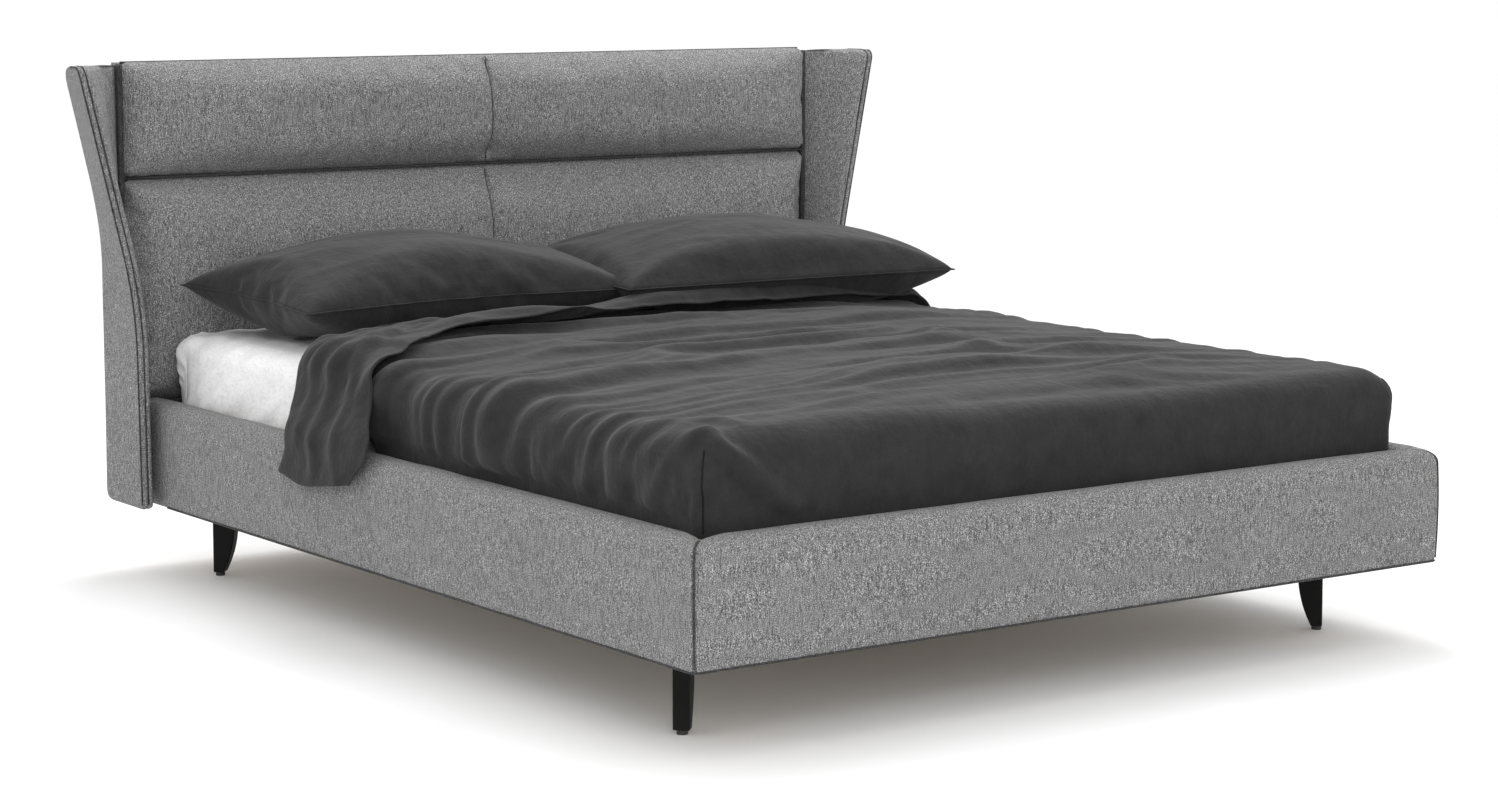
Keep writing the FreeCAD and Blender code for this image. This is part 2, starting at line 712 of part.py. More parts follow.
def build_leg(corner):
    """A leg with a straight edge towards the bed's corner and an inner edge that tapers."""
    sign, station, angle = LEG_CORNERS[corner]
    back = "-leg_foot_depth / 2"
    height = "floor_clearance - leg_plate - glide_height"
    points = [(back, "0"), ("leg_foot_depth / 2", "0"),
              (f"{back} + leg_top_depth", height), (back, height)]
    body, pad = outline_body(f"leg_{corner}", "XZ_Plane", points, "leg_width", True,
                             {1: "leg_curve_radius"})
    soften(body, pad, f"leg_{corner}_round", "leg_edge_radius", lambda a, b: True)
    body.Placement = FreeCAD.Placement(
        FreeCAD.Vector(), FreeCAD.Rotation(FreeCAD.Vector(0, 0, 1), angle))
    x, y = leg_centre(corner)
    bind(body, x=x, y=y, z="glide_height")
    node(body, f"{corner}_leg")


def plate_screws(corner):
    """Four screws near the middles of a leg plate's sides, driven upwards."""
    x, y = leg_centre(corner)
    offset = "(leg_plate_size / 2 - 2 * screw_head_radius)"
    seat = "floor_clearance - leg_plate"
    return ([((f"{x} {way} {offset}", y, seat), "+Z") for way in "+-"]
            + [((x, f"{y} {way} {offset}", seat), "+Z") for way in "+-"])


def build_legs():
    plates, glides, boards, screws = [], [], [], []
    for corner in LEG_CORNERS:
        build_leg(corner)
        x, y = leg_centre(corner)
        glides.append(rod(f"glide_{corner}", "glide_radius", "glide_height", (x, y, "0"), "+Z"))
        plate = box(f"plate_{corner}", (f"{x} - leg_plate_size / 2", f"{x} + leg_plate_size / 2"),
                    (f"{y} - leg_plate_size / 2", f"{y} + leg_plate_size / 2"),
                    ("floor_clearance - leg_plate", "floor_clearance"))
        side, end = corner.split("_")[1], "foot" if corner.startswith("front") else "head"
        sign = SIDES[side][0]
        station, away, into = ENDS[end]
        board = box(f"board_{corner}",
                    ordered(f"{sign}rail_inner", f"{sign}(rail_inner - leg_board_width)"),
                    ordered(station, f"{station} {away} leg_board_length"),
                    ("floor_clearance", "floor_clearance + leg_board"))
        holes = []
        for index, (place, axis) in enumerate(plate_screws(corner)):
            name = f"plate_screw_{corner}_{index}"
            screws.append(screw(name, place, axis))
            holes.append((screw_hole(name + "_plate", place, axis),
                          screw_hole(name + "_board", place, axis)))
        plates.append(cut(f"plate_drilled_{corner}", plate, [first for first, _ in holes]))
        boards.append(cut(f"board_drilled_{corner}", board, [last for _, last in holes]))
    node(group("leg_plates", plates), "leg_mounting_plates")
    node(group("leg_glides", glides), "leg_glides")
    node(group("leg_boards", boards), "leg_corner_boards")
    node(group("leg_screws", screws), "leg_plate_screws")


# ---------------------------------------------------------------- mattress and bedding

def over_mattress(name, margin, low, high, radius):
    """A block round the mattress with rounded uprights and top edges."""
    base = number(f"({high}) - ({low})")
    return rounded_block(
        name, (f"-(mattress_width / 2 + {margin})", f"mattress_width / 2 + {margin}"),
        (f"mattress_foot - ({margin})", f"mattress_head + {margin}"), (low, high), radius,
        lambda a, b: near(a.z, base) or near(b.z, base))


def build_mattress():
    node(over_mattress("mattress_form", "0", "mattress_base", "mattress_top", "mattress_radius"),
         "mattress")
    hollow = over_mattress("sheet_hollow", "0", "mattress_base", "mattress_top",
                           "mattress_radius")
    skin = over_mattress("sheet_form", "sheet_thickness", "mattress_base + sheet_hem_height",
                         "sheet_top", "mattress_radius + sheet_thickness")
    node(cut("sheet_skin", skin, [hollow]), "fitted_sheet")


def build_duvet():
    """A tucked quilt: a crowned top, skirts inside the rails and a flap over the left rail."""
    margin = "sheet_thickness + duvet_clearance"
    hollow = over_mattress("duvet_hollow", margin, "mattress_base", "sheet_top + duvet_clearance",
                           f"mattress_radius + {margin}")
    low = "slat_top + duvet_tuck_height"
    form = over_mattress("duvet_form", f"{margin} + duvet_skirt", low,
                         "sheet_top + duvet_clearance + duvet_loft", "duvet_radius")
    beyond = box("duvet_beyond", ("-rail_outer", "rail_outer"), ("duvet_head", "core_back"),
                 (low, "sheet_top + duvet_clearance + 2 * duvet_loft"))
    flap_ys = ("duvet_head - flap_head_inset - flap_width", "duvet_head - flap_head_inset")
    outside = "rail_outer + flap_clearance + duvet_skirt"
    over = box("flap_over", (f"-({outside})", "-(duvet_inner + duvet_skirt / 2)"), flap_ys,
               ("rail_top + flap_clearance", "rail_top + flap_clearance + duvet_skirt"))
    down = box("flap_down", (f"-({outside})", "-(rail_outer + flap_clearance)"), flap_ys,
               ("rail_top - flap_drop", "rail_top + flap_clearance + duvet_skirt"))
    shell = cut("duvet_shell", form, [hollow, beyond])
    node(join("duvet_whole", [shell, over, down]), "duvet")


def build_pillows():
    for side, sign in (("left", "-"), ("right", "")):
        near_x = f"{sign}pillow_spacing / 2"
        far_x = f"{sign}(pillow_spacing / 2 + pillow_width)"
        ys = ("duvet_head + pillow_clearance", "duvet_head + pillow_clearance + pillow_depth")
        pillow = rounded_block(f"pillow_form_{side}", ordered(near_x, far_x), ys,
                               ("sheet_top + rest_clearance",
                                "sheet_top + rest_clearance + pillow_height"), "pillow_radius")
        node(pillow, f"pillow_{side}")


def write_nodes():
    """Check every object and sub-part, then write one file for each sub-part."""
    doc.recompute()
    for thing in doc.Objects:
        faults = [state for state in thing.State if state in ("Invalid", "Error")]
        if faults:
            raise RuntimeError(f"{thing.Name} failed: {faults}")
    os.makedirs("parts", exist_ok=True)
    for thing in NODES:
        if thing.Shape.isNull() or not thing.Shape.isValid() or not thing.Shape.Solids:
            raise RuntimeError(f"{thing.Label} has no valid solid")
        thing.Shape.exportStep(os.path.join("parts", thing.Label + ".step"))
    print(len(NODES), "sub-parts written")


build_wings()
cross_board = build_headboard()
build_rails(cross_board)
build_brackets()
build_beam()
build_slats()
build_holders()
build_ledgers()
build_legs()
build_mattress()
build_duvet()
build_pillows()
write_nodes()
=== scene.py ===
"""Looks of the upholstered wing bed: fabric, bedding and finishes round the fixed CAD frame."""
import math

import bmesh
import bpy
import numpy as np
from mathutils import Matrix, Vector


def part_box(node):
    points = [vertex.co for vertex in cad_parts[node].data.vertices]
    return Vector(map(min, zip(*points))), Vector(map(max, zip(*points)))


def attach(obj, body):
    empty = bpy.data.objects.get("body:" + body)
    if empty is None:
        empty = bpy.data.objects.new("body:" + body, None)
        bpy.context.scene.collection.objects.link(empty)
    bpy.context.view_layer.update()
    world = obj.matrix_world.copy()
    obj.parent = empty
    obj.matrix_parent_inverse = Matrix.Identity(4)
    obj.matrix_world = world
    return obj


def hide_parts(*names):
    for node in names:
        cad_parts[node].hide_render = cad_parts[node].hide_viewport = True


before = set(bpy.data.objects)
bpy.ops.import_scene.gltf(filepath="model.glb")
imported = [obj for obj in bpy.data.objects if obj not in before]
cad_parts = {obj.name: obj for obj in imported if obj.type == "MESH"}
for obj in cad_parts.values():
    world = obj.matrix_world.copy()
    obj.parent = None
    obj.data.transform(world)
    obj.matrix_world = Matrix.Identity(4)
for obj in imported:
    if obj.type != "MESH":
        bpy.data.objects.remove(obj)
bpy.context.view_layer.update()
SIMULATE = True


def box(node):
    """A CAD node's lowest and highest corners at rest, as arrays in metres."""
    low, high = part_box(node)
    return np.array(low, float), np.array(high, float)


FRAME_BODY = "frame"
RAIL_LOW, RAIL_HIGH = box("left_rail_cover")
WING_LOW, WING_HIGH = box("right_wing_cover")
SHEET_LOW, SHEET_HIGH = box("fitted_sheet")
MATTRESS_LOW, MATTRESS_HIGH = box("mattress")
CORE_LOW, CORE_HIGH = box("headboard_core")
BACK_LOW, BACK_HIGH = box("headboard_back_cover")

RAIL_OUTER = -RAIL_LOW[0]
RAIL_INNER = -RAIL_HIGH[0]
RAIL_THICK = RAIL_OUTER - RAIL_INNER
FLOOR_GAP = RAIL_LOW[2]
RAIL_TOP = RAIL_HIGH[2]
FOOT_FACE = box("foot_rail_cover")[0][1]
SIDES = (("left", -1), ("right", 1))


# ------------------------------------------------------------------ small maths

def smooth(low, high, value):
    """Smooth step from 0 at low to 1 at high."""
    t = np.clip((np.asarray(value, float) - low) / (high - low), 0.0, 1.0)
    return t * t * (3.0 - 2.0 * t)


def lattice(cell, seed):
    """A repeatable value from -1 to 1 for each whole-number lattice point."""
    h = (cell[..., 0] * 374761393 + cell[..., 1] * 668265263
         + cell[..., 2] * 1442695041 + seed * 1274126177) & 0xFFFFFFFF
    h = ((h ^ (h >> 13)) * 1274126177) & 0xFFFFFFFF
    h = ((h ^ (h >> 15)) * 2246822519) & 0xFFFFFFFF
    return ((h ^ (h >> 16)) & 0xFFFF) / 32767.5 - 1.0


def noise(x, y, z, lengths, seed):
    """Smooth noise from about -1 to 1 whose features have these lengths, in metres."""
    p = np.stack(np.broadcast_arrays(x, y, z), -1) / np.asarray(lengths, float)
    base = np.floor(p).astype(np.int64)
    f = p - base
    f = f * f * f * (f * (f * 6.0 - 15.0) + 10.0)
    total = 0.0
    for corner in np.ndindex(2, 2, 2):
        step = np.array(corner)
        weight = np.where(step == 1, f, 1.0 - f).prod(-1)
        total = total + weight * lattice(base + step, seed)
    return total


def bell(value, width):
    """1 at zero, falling away smoothly to both sides."""
    return np.exp(-(value / width) ** 2)


def spread(knots, x):
    """A smooth curve through (place, value) knots."""
    places, values = np.array(knots, float).T
    x = np.clip(x, places[0], places[-1])
    slope = np.gradient(values, places)
    k = np.clip(np.searchsorted(places, x) - 1, 0, len(places) - 2)
    h = places[k + 1] - places[k]
    t = (x - places[k]) / h
    return ((2 * t**3 - 3 * t**2 + 1) * values[k] + (t**3 - 2 * t**2 + t) * h * slope[k]
            + (-2 * t**3 + 3 * t**2) * values[k + 1] + (t**3 - t**2) * h * slope[k + 1])


def off_line(x, y, points):
    """Distance from each (x, y) to a polyline, and the nearest point's share of its length."""
    points = np.array(points, float)
    lengths = np.linalg.norm(np.diff(points, axis=0), axis=1)
    total = lengths.sum()
    best = np.full(np.shape(x), 1e9)
    along = np.zeros(np.shape(x))
    done = 0.0
    for a, b, length in zip(points[:-1], points[1:], lengths):
        d = (b - a) / length
        t = np.clip((x - a[0]) * d[0] + (y - a[1]) * d[1], 0, length)
        far = np.hypot(x - a[0] - t * d[0], y - a[1] - t * d[1])
        along = np.where(far < best, (done + t) / total, along)
        best = np.minimum(far, best)
        done += length
    return best, along


# ------------------------------------------------------------------ mesh building

def mesh_object(name, vertices, faces):
    mesh = bpy.data.meshes.new(name)
    mesh.from_pydata([tuple(map(float, v)) for v in vertices], [], faces)
    mesh.validate()
    mesh.polygons.foreach_set("use_smooth", [True] * len(mesh.polygons))
    mesh.update()
    obj = bpy.data.objects.new(name, mesh)
    bpy.context.scene.collection.objects.link(obj)
    return obj


def grid_faces(rows, columns, wrap=False, start=0, flip=False):
    """Quads over a grid of points in row order; wrap closes each row on itself."""
    faces = []
    for i in range(rows - 1):
        for j in range(columns if wrap else columns - 1):
            k = (j + 1) % columns
            quad = (start + i * columns + j, start + i * columns + k,
                    start + (i + 1) * columns + k, start + (i + 1) * columns + j)
            faces.append(quad[::-1] if flip else quad)
    return faces


def edge_loop(rows, columns, start=0):
    """The border of an open grid, in order."""
    loop = [start + j for j in range(columns)]
    loop += [start + i * columns + columns - 1 for i in range(1, rows)]
    loop += [start + (rows - 1) * columns + j for j in range(columns - 2, -1, -1)]
    loop += [start + i * columns for i in range(rows - 2, 0, -1)]
    return loop


def loft(name, rings, seal=(0.0, 0.0)):
    """A closed solid through equal rings; each end closes on a middle point, pushed out by seal."""
    rings = np.array(rings)
    rows, columns = rings.shape[:2]
    faces = grid_faces(rows, columns, wrap=True)
    vertices = list(rings.reshape(-1, 3))
    for end, base, push in ((0, 0, seal[0]), (rows - 1, (rows - 1) * columns, seal[1])):
        middle = rings[end].mean(0)
        inner = rings[1 if end == 0 else rows - 2].mean(0)
        way = middle - inner
        vertices.append(middle + way / max(np.linalg.norm(way), 1e-9) * push)
        tip = len(vertices) - 1
        for j in range(columns):
            k = (j + 1) % columns
            faces.append((tip, base + k, base + j) if end == 0 else (tip, base + j, base + k))
    return mesh_object(name, vertices, faces)


def grid_normals(points):
    """Unit normals of a grid surface, rows by columns."""
    along = np.gradient(points, axis=0)
    across = np.gradient(points, axis=1)
    normal = np.cross(across, along)
    return normal / np.maximum(np.linalg.norm(normal, axis=-1, keepdims=True), 1e-12)


def thick_sheet(name, middle, thickness, normals=None):
    """A closed sheet round a grid of middle points, with a rounded rim."""
    rows, columns = middle.shape[:2]
    normals = grid_normals(middle) if normals is None else normals
    half = np.broadcast_to(np.asarray(thickness, float), (rows, columns))[..., None] / 2
    count = rows * columns
    upper, lower = middle + normals * half, middle - normals * half
    faces = grid_faces(rows, columns, flip=True) + grid_faces(rows, columns, start=count)
    border = edge_loop(rows, columns)
    flat = middle.reshape(-1, 3)
    flat_half = half.reshape(-1)
    rim = []
    for index in border:
        i, j = divmod(index, columns)
        a, b = min(max(i, 1), rows - 2), min(max(j, 1), columns - 2)
        way = flat[index] - middle[a, b]
        way = way / max(np.linalg.norm(way), 1e-9)
        rim.append(flat[index] + way * flat_half[index] * 0.8)
    base = 2 * count
    size = len(border)
    for k in range(size):
        m = (k + 1) % size
        faces.append((border[k], border[m], base + m, base + k))
        faces.append((base + k, base + m, count + border[m], count + border[k]))
    vertices = np.concatenate([upper.reshape(-1, 3), lower.reshape(-1, 3), np.array(rim)])
    return mesh_object(name, vertices, faces)


def rounded_ring(corners, cuts, arc=6, run=4):
    """Points round a closed polygon whose corners are cut back and curved."""
    corners = np.array(corners, float)
    count = len(corners)
    steps = np.linspace(0, 1, arc)[:, None]
    arcs = []
    for k in range(count):
        p = corners[k]
        a, b = corners[k - 1] - p, corners[(k + 1) % count] - p
        first = p + a * min(0.45, cuts[k] / np.linalg.norm(a))
        last = p + b * min(0.45, cuts[k] / np.linalg.norm(b))
        middle = p + ((first + last) / 2 - p) * 0.12
        arcs.append((1 - steps) ** 2 * first + 2 * steps * (1 - steps) * middle + steps**2 * last)
    points = []
    for k in range(count):
        points.extend(arcs[k])
        start, stop = arcs[k][-1], arcs[(k + 1) % count][0]
        points.extend(start + (stop - start) * s / (run + 1) for s in range(1, run + 1))
    return np.array(points)


def tube(name, line, radius, closed=False, sides=8):
    """A round welt along a line of points."""
    line = np.array(line, float)
    if closed:
        tangent = np.roll(line, -1, 0) - np.roll(line, 1, 0)
    else:
        tangent = np.gradient(line, axis=0)
    tangent /= np.linalg.norm(tangent, axis=1, keepdims=True)
    side = np.cross(tangent[0], (0.3, 0.2, 0.93))
    rings = []
    for p, t in zip(line, tangent):
        side = side - t * (side @ t)
        side /= np.linalg.norm(side)
        other = np.cross(t, side)
        angles = np.arange(sides) * 2 * math.pi / sides
        rings.append(p + radius * (np.cos(angles)[:, None] * side
                                   + np.sin(angles)[:, None] * other))
    if not closed:
        return loft(name, rings, seal=(radius * 0.5, radius * 0.5))
    rings.append(rings[0])
    rings = np.array(rings)
    faces = grid_faces(len(rings), sides, wrap=True)
    count = (len(rings) - 1) * sides
    faces = [tuple(v % count for v in face) for face in faces]
    return mesh_object(name, rings[:-1].reshape(-1, 3), faces)


def rolled(su, sv, flat_u, flat_v, roll):
    """A flat panel whose edges roll over and hang, at lengths along the cloth.

    Gives the points with the panel at height 0, their normals, and the depth past the edge."""
    cu, cv = np.clip(su, *flat_u), np.clip(sv, *flat_v)
    a, b = su - cu, sv - cv
    wide, deep = np.abs(a), np.abs(b)
    depth = np.maximum(wide, deep)
    ratio = np.minimum(wide, deep) / np.maximum(depth, 1e-9)
    angle = np.where(wide >= deep, ratio, 2.0 - ratio) * math.pi / 4
    du, dv = np.sign(a) * np.cos(angle), np.sign(b) * np.sin(angle)
    turn = np.minimum(depth / roll, math.pi / 2)
    out = roll * np.sin(turn)
    fall = roll * (1 - np.cos(turn)) + np.maximum(0, depth - roll * math.pi / 2)
    points = np.stack([cu + out * du, cv + out * dv, -fall], -1)
    normals = np.stack([np.sin(turn) * du, np.sin(turn) * dv, np.cos(turn)], -1)
    return points, normals, depth


def coordinates(obj):
    found = np.empty(len(obj.data.vertices) * 3)
    obj.data.vertices.foreach_get("co", found)
    return found.reshape(-1, 3)


def set_coordinates(obj, points):
    obj.data.vertices.foreach_set("co", np.asarray(points, float).ravel())
    obj.data.update()


def settle(obj, frames=20, pressure=0.0, volume=None, grow=0.0, pins=None, gravity=0.0,
           stiffness=15.0, bending=0.5, damping=None, quality=5):
    """Run the cloth simulation on obj and give where its points end; obj keeps no modifier."""
    scene = bpy.context.scene
    cloth = obj.modifiers.new("Cloth", "CLOTH")
    settings = cloth.settings
    settings.quality = quality
    settings.tension_stiffness = settings.compression_stiffness = stiffness
    settings.shear_stiffness = stiffness / 2
    settings.bending_stiffness = bending
    settings.effector_weights.gravity = gravity
    settings.shrink_min = settings.shrink_max = -grow
    if damping:
        settings.air_damping = damping
    if pressure or volume:
        settings.use_pressure = True
        settings.uniform_pressure_force = pressure
        if volume:
            settings.use_pressure_volume = True
            settings.target_volume = volume
    if pins is not None:
        group = obj.vertex_groups.new(name="held")
        for weight in np.unique(pins):
            if weight > 0:
                members = np.flatnonzero(pins == weight).tolist()
                group.add(members, float(weight), "REPLACE")
        settings.vertex_group_mass = "held"
    cloth.collision_settings.use_collision = False
    cloth.point_cache.frame_start, cloth.point_cache.frame_end = 1, frames
    for number in range(1, frames + 1):
        scene.frame_set(number)
    found = obj.evaluated_get(bpy.context.evaluated_depsgraph_get()).to_mesh()
    points = np.empty(len(found.vertices) * 3)
    found.vertices.foreach_get("co", points)
    obj.modifiers.remove(cloth)
    scene.frame_set(1)
    return points.reshape(-1, 3)


def subdivide(obj, levels=1):
    """Apply subdivision surfaces to the mesh itself."""
    modifier = obj.modifiers.new("Subdivision", "SUBSURF")
    modifier.levels = modifier.render_levels = levels
    mesh = bpy.data.meshes.new_from_object(obj.evaluated_get(bpy.context.evaluated_depsgraph_get()))
    obj.modifiers.clear()
    obj.data = mesh
    obj.data.polygons.foreach_set("use_smooth", [True] * len(obj.data.polygons))


# ------------------------------------------------------------------ materials

class Shader:
    """A procedural material in the object's own coordinates, in metres."""

    def __init__(self, name):
        self.material = bpy.data.materials.new(name)
        self.material.use_nodes = True
        self.tree = self.material.node_tree
        self.tree.nodes.clear()
        self.surface = self.add("ShaderNodeBsdfPrincipled")
        output = self.add("ShaderNodeOutputMaterial")
        self.link(self.surface.outputs["BSDF"], output.inputs["Surface"])
        self.place = self.add("ShaderNodeTexCoord").outputs["Object"]

    def add(self, kind, **settings):
        node = self.tree.nodes.new(kind)
        for key, value in settings.items():
            setattr(node, key, value)
        return node

    def link(self, source, target):
        self.tree.links.new(source, target)

    def stretched(self, scale, turn=(0, 0, 0)):
        mapping = self.add("ShaderNodeMapping")
        mapping.inputs["Scale"].default_value = scale
        mapping.inputs["Rotation"].default_value = turn
        self.link(self.place, mapping.inputs["Vector"])
        return mapping.outputs["Vector"]

    def noise(self, scale, detail=3.0, rough=0.55, turn=(0, 0, 0)):
        """Noise with this many features a metre along each axis."""
        texture = self.add("ShaderNodeTexNoise")
        texture.inputs["Scale"].default_value = 1.0
        texture.inputs["Detail"].default_value = detail
        texture.inputs["Roughness"].default_value = rough
        self.link(self.stretched(scale, turn), texture.inputs["Vector"])
        return texture.outputs["Fac"]

    def ramp(self, factor, stops):
        ramp = self.add("ShaderNodeValToRGB")
        elements = ramp.color_ramp.elements
        while len(elements) < len(stops):
            elements.new(0.5)
        for element, (place, grey) in zip(elements, stops):
            element.position = place
            colour = grey if isinstance(grey, tuple) else (grey, grey, grey)
            element.color = (*colour, 1)
        self.link(factor, ramp.inputs["Fac"])
        return ramp.outputs["Color"]

    def mix(self, kind, factor, a, b):
        node = self.add("ShaderNodeMix", data_type="RGBA", blend_type=kind)
        node.inputs["Factor"].default_value = factor
        self.link(a, node.inputs["A"])
        self.link(b, node.inputs["B"])
        return node.outputs["Result"]

    def sum(self, a, b, share=0.5):
        node = self.add("ShaderNodeMath", operation="MULTIPLY_ADD")
        node.inputs[1].default_value = share
        self.link(a, node.inputs[0])
        self.link(b, node.inputs[2])
        return node.outputs["Value"]

    def bump(self, height, distance, strength=1.0):
        node = self.add("ShaderNodeBump")
        node.inputs["Distance"].default_value = distance
        node.inputs["Strength"].default_value = strength
        self.link(height, node.inputs["Height"])
        self.link(node.outputs["Normal"], self.surface.inputs["Normal"])

    def colour(self, output):
        self.link(output, self.surface.inputs["Base Color"])

    def finish(self, **values):
        for name, value in values.items():
            self.surface.inputs[name.replace("_", " ")].default_value = value
        return self.material


def upholstery_material(name, tone):
    """Heathered mid-grey weave: light and dark flecks with upright slubs."""
    s = Shader(name)
    fleck = s.noise((680, 680, 560), detail=1.5, rough=0.7)
    slub = s.noise((560, 560, 60), detail=2.0, rough=0.65)
    cloud = s.noise((7, 7, 5), detail=2.0)
    speckle = s.ramp(fleck, [(0.33, 0.050 * tone), (0.45, 0.165 * tone), (0.55, 0.260 * tone),
                             (0.68, 0.68 * tone)])
    streak = s.ramp(slub, [(0.36, 0.40), (0.5, 0.84), (0.62, 1.0)])
    patch = s.ramp(cloud, [(0.3, 0.94), (0.7, 1.0)])
    s.colour(s.mix("MULTIPLY", 1.0, s.mix("MULTIPLY", 1.0, speckle, streak), patch))
    s.bump(s.sum(slub, fleck, 0.8), 0.0011, 0.8)
    return s.finish(Roughness=0.92, Specular_IOR_Level=0.2, Sheen_Weight=0.06,
                    Sheen_Roughness=0.5)


def bedding_material(name, dark, light, sheen, crumple):
    """Fine plain-woven cotton with faint yarn lines both ways."""
    s = Shader(name)
    warp = s.noise((900, 60, 120), detail=1.0, rough=0.5)
    weft = s.noise((60, 900, 700), detail=1.0, rough=0.5)
    cloud = s.noise((22, 22, 22), detail=4.0, rough=0.6)
    yarn = s.ramp(s.sum(warp, weft, 1.0), [(0.78, 0.86), (1.0, 0.96), (1.0, 1.0)])
    s.colour(s.mix("MULTIPLY", 1.0, s.ramp(cloud, [(0.3, dark), (0.7, light)]), yarn))
    creases = s.noise((9, 24, 16), detail=5.0, rough=0.6, turn=(0, 0, 0.5))
    crossed = s.noise((26, 10, 18), detail=5.0, rough=0.6, turn=(0, 0, 0.35))
    s.bump(s.sum(s.sum(creases, crossed, 1.0), s.sum(warp, weft, 1.0), crumple), 0.0003, 0.6)
    return s.finish(Roughness=0.86, Specular_IOR_Level=0.18, Sheen_Weight=sheen,
                    Sheen_Roughness=0.45)


def ticking_material():
    s = Shader("woven_ticking")
    quilt = s.add("ShaderNodeTexVoronoi", feature="SMOOTH_F1")
    quilt.inputs["Scale"].default_value = 1.0
    s.link(s.stretched((9, 9, 9)), quilt.inputs["Vector"])
    weave = s.noise((500, 500, 500), detail=2.0)
    s.colour(s.ramp(weave, [(0.3, (0.50, 0.50, 0.50)), (0.7, (0.64, 0.64, 0.64))]))
    s.bump(s.sum(weave, quilt.outputs["Distance"], 0.04), 0.008, 0.6)
    return s.finish(Roughness=0.85, Sheen_Weight=0.1)


def wood_material(name, dark, light, grain, roughness):
    """Sawn wood with long grain along Y or X, and fine pores."""
    s = Shader(name)
    long = s.noise(grain, detail=5.0, rough=0.65)
    pores = s.noise(tuple(6 * g for g in grain), detail=2.0, rough=0.7)
    s.colour(s.mix("MULTIPLY", 1.0, s.ramp(long, [(0.32, dark), (0.68, light)]),
                   s.ramp(pores, [(0.28, 0.72), (0.5, 1.0)])))
    s.bump(s.sum(pores, long, 0.5), 0.0006, 0.4)
    return s.finish(Roughness=roughness)


def hard_material(name, dark, light, roughness, metallic=0.0, scale=180, bump=0.0003,
                  shine=0.5):
    """Moulded plastic, lacquer or metal: faint clouding, fine texture and rubbed patches."""
    s = Shader(name)
    fine = s.noise((scale, scale, scale), detail=3.0)
    cloud = s.noise((14, 14, 14), detail=3.0)
    s.colour(s.ramp(cloud, [(0.3, dark), (0.7, light)]))
    rough = s.add("ShaderNodeMapRange")
    rough.inputs["To Min"].default_value = roughness - 0.07
    rough.inputs["To Max"].default_value = roughness + 0.09
    s.link(cloud, rough.inputs["Value"])
    s.link(rough.outputs["Result"], s.surface.inputs["Roughness"])
    s.bump(fine, bump, 0.35)
    return s.finish(Metallic=metallic, Specular_IOR_Level=shine)


FINISH = {
    "upholstery": upholstery_material("heathered_weave", 1.0),
    # welt: the same weave at 0.22 of its tone, painted shade so welts, seams and turned-in linings
    # read dark
    "welt": upholstery_material("welt_weave_painted_shade", 0.22),
    "charcoal_linen": bedding_material("charcoal_cotton", 0.017, 0.026, 0.10, 22.0),
    # near-black copy of the bedding, painted shade for the duvet's corner seams
    "painted_seam_shade": bedding_material("painted_seam_shade", 0.006, 0.009, 0.0, 4.0),
    "white_cotton": bedding_material("white_cotton", 0.78, 0.83, 0.1, 14.0),
    "ticking": ticking_material(),
    "plywood": wood_material("birch_plywood", (0.38, 0.29, 0.20), (0.58, 0.46, 0.33),
                             (5, 5, 90), 0.62),
    "pine": wood_material("planed_pine", (0.46, 0.34, 0.21), (0.65, 0.50, 0.34),
                          (70, 3, 70), 0.58),
    "birch_slat": wood_material("bent_birch", (0.54, 0.43, 0.30), (0.71, 0.60, 0.45),
                                (3, 80, 80), 0.5),
    "black_plastic": hard_material("moulded_black", (0.012,) * 3, (0.020,) * 3, 0.48),
    "black_leg": hard_material("satin_black", (0.004,) * 3, (0.007,) * 3, 0.50, scale=320,
                               bump=0.0001, shine=0.12),
    "black_steel": hard_material("coated_steel", (0.018,) * 3, (0.032,) * 3, 0.45, 0.6),
    "zinc_screw": hard_material("bright_zinc", (0.55, 0.55, 0.53), (0.70, 0.70, 0.68), 0.3, 1.0),
}


def dress(obj, slot, body=FRAME_BODY, replaces=(), finish=None):
    """Give a piece its finish, let it ride on its body, and hide the CAD parts it replaces."""
    obj.data.materials.clear()
    obj.data.materials.append(FINISH[finish or slot])
    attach(obj, body)
    if replaces:
        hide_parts(*replaces)
    return obj


def welt(name, line, radius, sides=8, closed=False, slot="upholstery", body=FRAME_BODY,
         finish="welt"):
    """A round welt, tape or seam along a line, in its finish; the default welt finish is painted
    shade.
    """
    obj = flip_if_needed(tube(name, line, radius, closed, sides))
    return dress(obj, slot, body, finish=finish)


def lining(name, section, cuts, place, stations, run=3):
    """A strip of turned-in fabric in the darkened welt finish, painted shade in the gap; place(a,
    b, station) gives the section's points in the frame.
    """
    ring = rounded_ring(section, cuts, 4, run)
    rings = [[place(a, b, station) for a, b in ring] for station in stations]
    dress(flip_if_needed(loft(name, rings)), "upholstery", finish="welt")


def rectangle(a0, a1, b0, b1):
    return [(a0, b0), (a1, b0), (a1, b1), (a0, b1)]


def sewn(name, upper, lower, rows, columns, rim_height):
    """Two grids of points joined along their borders into one closed mesh.

    Gives the object, the grid points it keeps, and where each grid point is in the mesh."""
    border = edge_loop(rows, columns)
    count = rows * columns
    vertices = np.concatenate([upper.reshape(-1, 3), lower.reshape(-1, 3)])
    vertices[border, 2] = rim_height
    join = {count + index: index for index in border}
    faces = grid_faces(rows, columns, flip=True)
    faces += [tuple(join.get(v, v) for v in face)
              for face in grid_faces(rows, columns, start=count)]
    used = sorted({v for face in faces for v in face})
    place = {v: k for k, v in enumerate(used)}
    place.update({twin: place[index] for twin, index in join.items()})
    faces = [tuple(place[v] for v in face) for face in faces]
    return flip_if_needed(mesh_object(name, vertices[used], faces)), used, place


# ------------------------------------------------------------------ rails

RAIL_SWELL = 0.0025
RAIL_RADII = (0.005, 0.009, 0.023, 0.016)
SEAM_REACH = 0.012
SEAM_DEPTH = 0.005
NOTCH_REACH = 0.05
NOTCH_DEPTH = 0.006


